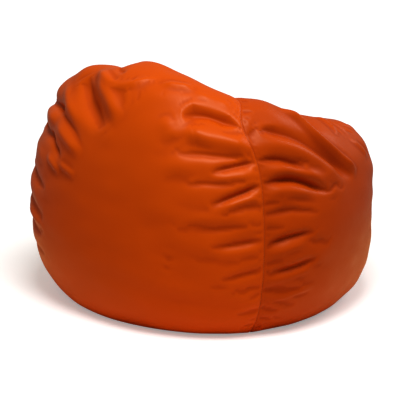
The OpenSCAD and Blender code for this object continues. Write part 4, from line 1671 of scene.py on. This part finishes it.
@dataclass
class BeadFill:
    """The settled beads: one mound that fills the liner, parted round the liner's zip."""

    relief: Relief
    finishes: Finishes
    foot_depth: float = 4 * MM
    depth: float = 8.4 * MM
    columns: int = 360
    rows: tuple[int, int] = (30, 66)
    hollow_rows: int = 50
    channel_y: float = 50 * MM
    channel_z: float = 18.4 * MM
    channel_slope: float = 10 * MM

    def build(self) -> None:
        """Make the mound."""
        form = self.relief.form
        rise = np.concatenate([np.linspace(0, 1, self.rows[0], endpoint=False),
                               np.linspace(1, 2, self.rows[1], endpoint=False),
                               np.linspace(2, 2.998, self.hollow_rows)])
        a, s = np.meshgrid(np.linspace(0, 360, self.columns, endpoint=False), rise, indexing="ij")
        depth = layer_depth(s, self.foot_depth, self.depth)
        lift = lowered(self.relief.lift(a, s), 2, wrap=True)
        points = self.relief.at_depth(a, s, lift, depth)
        floor = self.floor_z(points[:, 0, 1])
        points[..., 2] = np.maximum(points[..., 2], floor[:, None])
        number = np.arange(points.shape[0] * points.shape[1]).reshape(points.shape[:2])
        faces = [quads(number, True)]
        top = number[:, -1]
        fan = np.stack([np.full(len(top) - 2, top[0]), top[1:-1], top[2:], top[2:]], 1)
        faces.append(fan)
        under, under_faces = self.underside(points[:, 0], number[:, 0], number.size)
        verts = np.vstack([points.reshape(-1, 3), under])
        made = new_object("bead_mound", verts, np.vstack([*faces, under_faces]))
        place(made, self.finishes.beads, "beads", "bead_fill")

    def floor_z(self, y: np.ndarray) -> np.ndarray:
        """Height of the mound's underside at a place across the zip."""
        run = (np.abs(y - self.relief.form.axis_y) - self.channel_y) / self.channel_slope
        return self.channel_z + (self.foot_depth - self.channel_z) * smooth(run)

    def underside(self, ring: np.ndarray, number: np.ndarray, first: int
                  ) -> tuple[np.ndarray, np.ndarray]:
        """Points and faces that close the mound below, in strips between mirrored ring points.

        Args:
            ring: The foot's ring of points.
            number: Their numbers.
            first: Number of the first new point.

        Returns:
            The new points, and the faces between them and the ring.
        """
        half, across = len(ring) // 2, 60
        t = np.linspace(1, -1, across)[1:-1]
        right, left = ring[1:half], ring[:half:-1]
        middle = (right + left)[:, None] / 2 + t[None, :, None] * (right - left)[:, None] / 2
        middle[..., 2] = self.floor_z(middle[..., 1])
        inner = first + np.arange(middle.shape[0] * middle.shape[1]).reshape(middle.shape[:2])
        strip = np.hstack([number[1:half, None], inner, number[:half:-1, None]])
        ends = [np.full(across, number[0]), np.full(across, number[half])]
        faces = quads(np.vstack([ends[0][None], strip, ends[1][None]]))
        return middle.reshape(-1, 3), tidy_faces(faces)


def tidy_faces(faces: np.ndarray) -> np.ndarray:
    """Faces without repeated corners, a triangle having its repeated corner last."""
    kept = []
    for face in faces:
        corners = list(dict.fromkeys(int(c) for c in face))
        if len(corners) == 4:
            kept.append(corners)
        elif len(corners) == 3:
            kept.append([*corners, corners[2]])
    return np.array(kept)


# ---------------------------------------------------------------- zips and label


@dataclass
class Zip:
    """A coil zip that hangs under its tapes, with a lockable slider that the frame holds.

    Attributes:
        prefix: "cover" or "liner", as its nodes' names begin.
        axis_y: Where the zip's line lies.
        tape: Finish and slot of the tapes.
        coil: Finish and slot of the coils.
        thread: Finish and slot of the topstitching.
        metal: Finish of the slider and the stops.
        tape_z: Height of the tapes' underside.
        lip_cloth: Thickness of the lip that the tapes are sewn to.
        stitching: The topstitching's thread.
        stitch_nodes: Each topstitching node, and the sides of the zip that it lies on.
    """

    prefix: str
    axis_y: float
    tape: tuple[bpy.types.Material, str]
    coil: tuple[bpy.types.Material, str]
    thread: tuple[bpy.types.Material, str]
    metal: bpy.types.Material
    tape_z: float
    lip_cloth: float
    stitching: Stitching
    stitch_nodes: tuple[tuple[str, tuple[int, ...]], ...]
    length: float = 560 * MM
    tail: float = 14 * MM
    tape_w: float = 16 * MM
    tape_t: float = 0.4 * MM
    tape_wave: float = 0.12 * MM
    wave_run: float = 21 * MM
    coil_y: float = 0.8 * MM
    coil_w: float = 2.6 * MM
    coil_h: float = 2.4 * MM
    wire: float = 0.62 * MM
    pitch: float = 1.7 * MM
    stitch_y: float = 10.4 * MM

    def build(self) -> None:
        """Make the tapes, the coils and the topstitching, and dress the slider and the stops."""
        for name, side in (("front", -1), ("rear", 1)):
            self.make_tape(name, side)
            self.make_coil(name, side)
        for node, sides in self.stitch_nodes:
            lines = [self.stitch_line(side) for side in sides]
            self.stitching.sew(f"{node}_row", node, lines, *self.thread)
        dress(f"{self.prefix}_zip_slider", self.metal)
        dress(f"{self.prefix}_zip_stops", self.metal)

    def make_tape(self, name: str, side: int) -> None:
        """One woven tape, a little wavy away from the coil."""
        half = self.length / 2 + self.tail
        x, y = np.meshgrid(np.linspace(-half, half, 120), np.linspace(0, self.tape_w, 9), indexing="ij")
        z = self.tape_z + self.tape_wave * (1 + np.sin(x / self.wave_run) * (y / self.tape_w))
        grid = np.stack([x, self.axis_y + side * (self.coil_y + y), z], -1)
        made = sheet_solid(f"{self.prefix}_tape_{name}", grid if side < 0 else grid[::-1], self.tape_t)
        place(made, *self.tape, f"{self.prefix}_zip_tape_{name}")
        2 * half

    def make_coil(self, name: str, side: int) -> None:
        """One coil: a nylon filament wound in flat turns along the tape's edge."""
        turns = int(self.length / self.pitch)
        per_turn = 10
        t = np.linspace(0, turns, turns * per_turn + 1)
        flat, tall = (self.coil_w - self.wire) / 2, (self.coil_h - self.wire) / 2
        x = -self.length / 2 + self.length * t / turns
        y = self.axis_y + side * (self.coil_y + self.coil_w / 2 - flat * np.cos(2 * np.pi * t))
        z = self.tape_z - self.coil_h / 2 + tall * np.sin(2 * np.pi * t)
        verts, faces = tube_mesh(np.stack([x, y, z], 1), np.full(len(t), self.wire / 2), 6,
                                 np.array([1.0, 0.0, 0.0]))
        made = new_object(f"{self.prefix}_coil_{name}", verts, faces)
        place(made, *self.coil, f"{self.prefix}_zip_coil_{name}")

    def stitch_line(self, side: int) -> tuple[np.ndarray, np.ndarray]:
        """A row of topstitching under the lip on one side, and the way down from it."""
        half = self.length / 2 + self.tail
        x = np.linspace(-half, half, 200)
        z = self.tape_z - self.lip_cloth - self.stitching.diameter * 0.3
        line = np.stack([x, np.full_like(x, self.axis_y + side * self.stitch_y), np.full_like(x, z)], 1)
        return line, np.tile([0.0, 0.0, -1.0], (len(x), 1))


@dataclass
class CareLabel:
    """The blank satin label under the front lip."""

    finishes: Finishes
    thick: float = 0.25 * MM
    wave: float = 0.25 * MM
    wave_run: float = 5.5 * MM

    def build(self) -> None:
        """Make the label, a little wavy, with its ends turned."""
        low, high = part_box("care_label")
        x, y = np.meshgrid(np.linspace(low.x, high.x, 60), np.linspace(high.y, low.y, 26),
                           indexing="ij")
        share = (high.y - y) / (high.y - low.y)
        z = low.z - self.wave * share * (1 + np.sin((x - low.x) / self.wave_run))
        grid = np.stack([x, y, z], -1)
        made = sheet_solid("blank_label", grid, self.thick)
        place(made, self.finishes.label, "label", "care_label")


# ---------------------------------------------------------------- studio


@dataclass(frozen=True)
class Studio:
    """Pale floor, soft lights and the camera.

    Attributes:
        azimuth: The camera's azimuth from the bag's front, in degrees.
        elevation: Its height above level, in degrees.
        distance: Its distance from the aim.
        half_view: Half the width of its view, as a share of the distance.
        aim: The place that the camera and the lights face.
        aside: How far the camera stands to its own right of that.
        ambient: Strength of the surround's light.
        floor_glow: Strength of the floor's own light, as the camera sees it.
    """

    azimuth: float = -141.9
    elevation: float = 15.4
    distance: float = 4.2
    half_view: float = 0.1443
    aim: tuple[float, float, float] = (0.0, 0.0, 0.269)
    aside: float = -0.0258
    ambient: float = 0.29
    floor_glow: float = 0.26
    floor_half: float = 6.0
    fade_from: float = 0.66
    fade_to: float = 1.5

    WHITE = (1.0, 1.0, 1.0, 1.0)
    WARM = (1.0, 0.89, 0.74, 1.0)
    BOUNCE = (1.0, 0.72, 0.36, 1.0)

    def build(self) -> None:
        """Make the floor, the lights and the camera."""
        self.camera()
        self.floor()
        self.softbox("key_softbox", self.azimuth + 4, 62, 3.0, 1.3, 72)
        self.softbox("rim_softbox", self.azimuth + 108, 36, 3.2, 1.4, 20)
        self.surround()
        view = bpy.context.scene.view_settings
        view.view_transform = "Standard"
        view.look = "Medium High Contrast"

    def stand(self, name: str, data: bpy.types.ID, azimuth: float, elevation: float, distance: float,
              aside: float = 0.0) -> bpy.types.Object:
        """Stand a camera or a light round the bag, facing it.

        Args:
            name: The object's name.
            data: The camera or the light.
            azimuth: Its azimuth from the bag's front, in degrees.
            elevation: Its height above level, in degrees.
            distance: Its distance from the aim.
            aside: How far it then moves to its own right.

        Returns:
            The new object.
        """
        a, e = math.radians(azimuth), math.radians(elevation)
        back = Vector((math.sin(a) * math.cos(e), -math.cos(a) * math.cos(e), math.sin(e)))
        right = Vector((math.cos(a), math.sin(a), 0.0))
        made = bpy.data.objects.new(name, data)
        made.location = Vector(self.aim) + back * distance + right * aside
        made.rotation_euler = (-back).to_track_quat("-Z", "Y").to_euler()
        bpy.context.scene.collection.objects.link(made)
        return made

    def camera(self) -> None:
        """The camera, behind the bag and a little to its left."""
        data = bpy.data.cameras.new("camera")
        data.sensor_width = 36.0
        data.lens = data.sensor_width / 2 / self.half_view
        bpy.context.scene.camera = self.stand("camera", data, self.azimuth, self.elevation,
                                              self.distance, self.aside)

    def softbox(self, name: str, azimuth: float, elevation: float, distance: float, size: float,
                power: float) -> None:
        """One square softbox that faces the bag."""
        data = bpy.data.lights.new(name, "AREA")
        data.size = size
        data.energy = power
        self.stand(name, data, azimuth, elevation, distance)

    def floor(self) -> None:
        """A pale floor that ends in the white surround, and throws a warmer light on the bag."""
        half = self.floor_half
        corners = [(-half, -half, 0), (half, -half, 0), (half, half, 0), (-half, half, 0)]
        made = new_object("floor", np.array(corners, float), np.array([[0, 1, 2, 3]]))
        g = Graph("pale_floor")
        tint = g.noise(0.6, 2.0)
        distance = g.node("ShaderNodeVectorMath", {"operation": "LENGTH"}, {0: g.coordinates()}, 1)
        fade = g.node("ShaderNodeMapRange", {"interpolation_type": "SMOOTHSTEP"},
                      {"Value": distance, "From Min": self.fade_from, "From Max": self.fade_to})
        clear = g.node("ShaderNodeBsdfTransparent", {}, {})
        bounce = g.node("ShaderNodeBsdfDiffuse", {}, {"Color": self.BOUNCE})
        seen = g.node("ShaderNodeLightPath", {}, {}, "Is Camera Ray")
        material = g.finish(Base_Color=g.mix(tint, (0.96, 0.96, 0.96, 1), (0.98, 0.98, 0.98, 1)),
                            Roughness=0.6, Specular_IOR_Level=0.2, Emission_Color=self.WHITE,
                            Emission_Strength=self.floor_glow)
        shown = g.node("ShaderNodeMixShader", {}, {0: seen, 1: bounce, 2: Sock(g, g.shader.outputs[0])})
        both = g.node("ShaderNodeMixShader", {}, {0: fade, 1: shown, 2: clear})
        g.feed(g.output.inputs["Surface"], both)
        made.data.materials.append(material)

    def surround(self) -> None:
        """A warm, even light from all round, which the camera sees as white."""
        world = bpy.data.worlds.new("surround")
        world.use_nodes = True
        tree = world.node_tree
        lit = tree.nodes["Background"]
        lit.inputs["Color"].default_value = self.WARM
        lit.inputs["Strength"].default_value = self.ambient
        seen = tree.nodes.new("ShaderNodeBackground")
        seen.inputs["Color"].default_value = self.WHITE
        rays = tree.nodes.new("ShaderNodeLightPath")
        both = tree.nodes.new("ShaderNodeMixShader")
        for output, socket in ((rays.outputs["Is Camera Ray"], both.inputs[0]),
                               (lit.outputs[0], both.inputs[1]), (seen.outputs[0], both.inputs[2]),
                               (both.outputs[0], tree.nodes["World Output"].inputs["Surface"])):
            tree.links.new(output, socket)
        bpy.context.scene.world = world


def main() -> None:
    """Build the bean bag chair."""
    logging.basicConfig(level=logging.INFO, format="%(name)s: %(message)s")
    Studio().build()
    low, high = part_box("cap_thread")
    form = BagForm(axis_y=(low.y + high.y) / 2)
    folds = LUMPS + BACK_FOLDS + SIDE_FOLDS + RIGHT_SEAM_FOLDS + FAR_FOLDS + HOLLOW_FOLDS
    relief = Relief(form, folds, GATHERS, UNEVEN)
    relief.slack = SlackCloth(relief).run()
    looks = Finishes()
    cover, liner = CoverShell(relief, looks), Liner(relief, looks)
    cover.build()
    liner.build()
    BeadFill(relief, looks).build()
    cover_zip = Zip(
        "cover", form.axis_y, tape=(looks.tape, "zip_tape"), coil=(looks.coil, "zip_coil"),
        thread=(looks.thread, "thread"), metal=looks.metal, tape_z=8.2 * MM, lip_cloth=cover.cloth,
        stitching=Stitching(0.8 * MM, 3.4 * MM, 0.82, 0.15 * MM),
        stitch_nodes=(("cover_zip_stitch_front", (-1,)), ("cover_zip_stitch_rear", (1,))))
    liner_zip = Zip(
        "liner", form.axis_y, tape=(looks.liner, "liner"), coil=(looks.liner_coil, "liner_coil"),
        thread=(looks.liner_thread, "liner"), metal=looks.metal, tape_z=16 * MM,
        lip_cloth=liner.cloth, stitching=Stitching(0.4 * MM, 3.4 * MM, 0.82, 0.15 * MM),
        stitch_nodes=(("liner_zip_stitch", (-1, 1)),))
    cover_zip.build()
    liner_zip.build()
    CareLabel(looks).build()


if __name__ == "__main__":
    main()
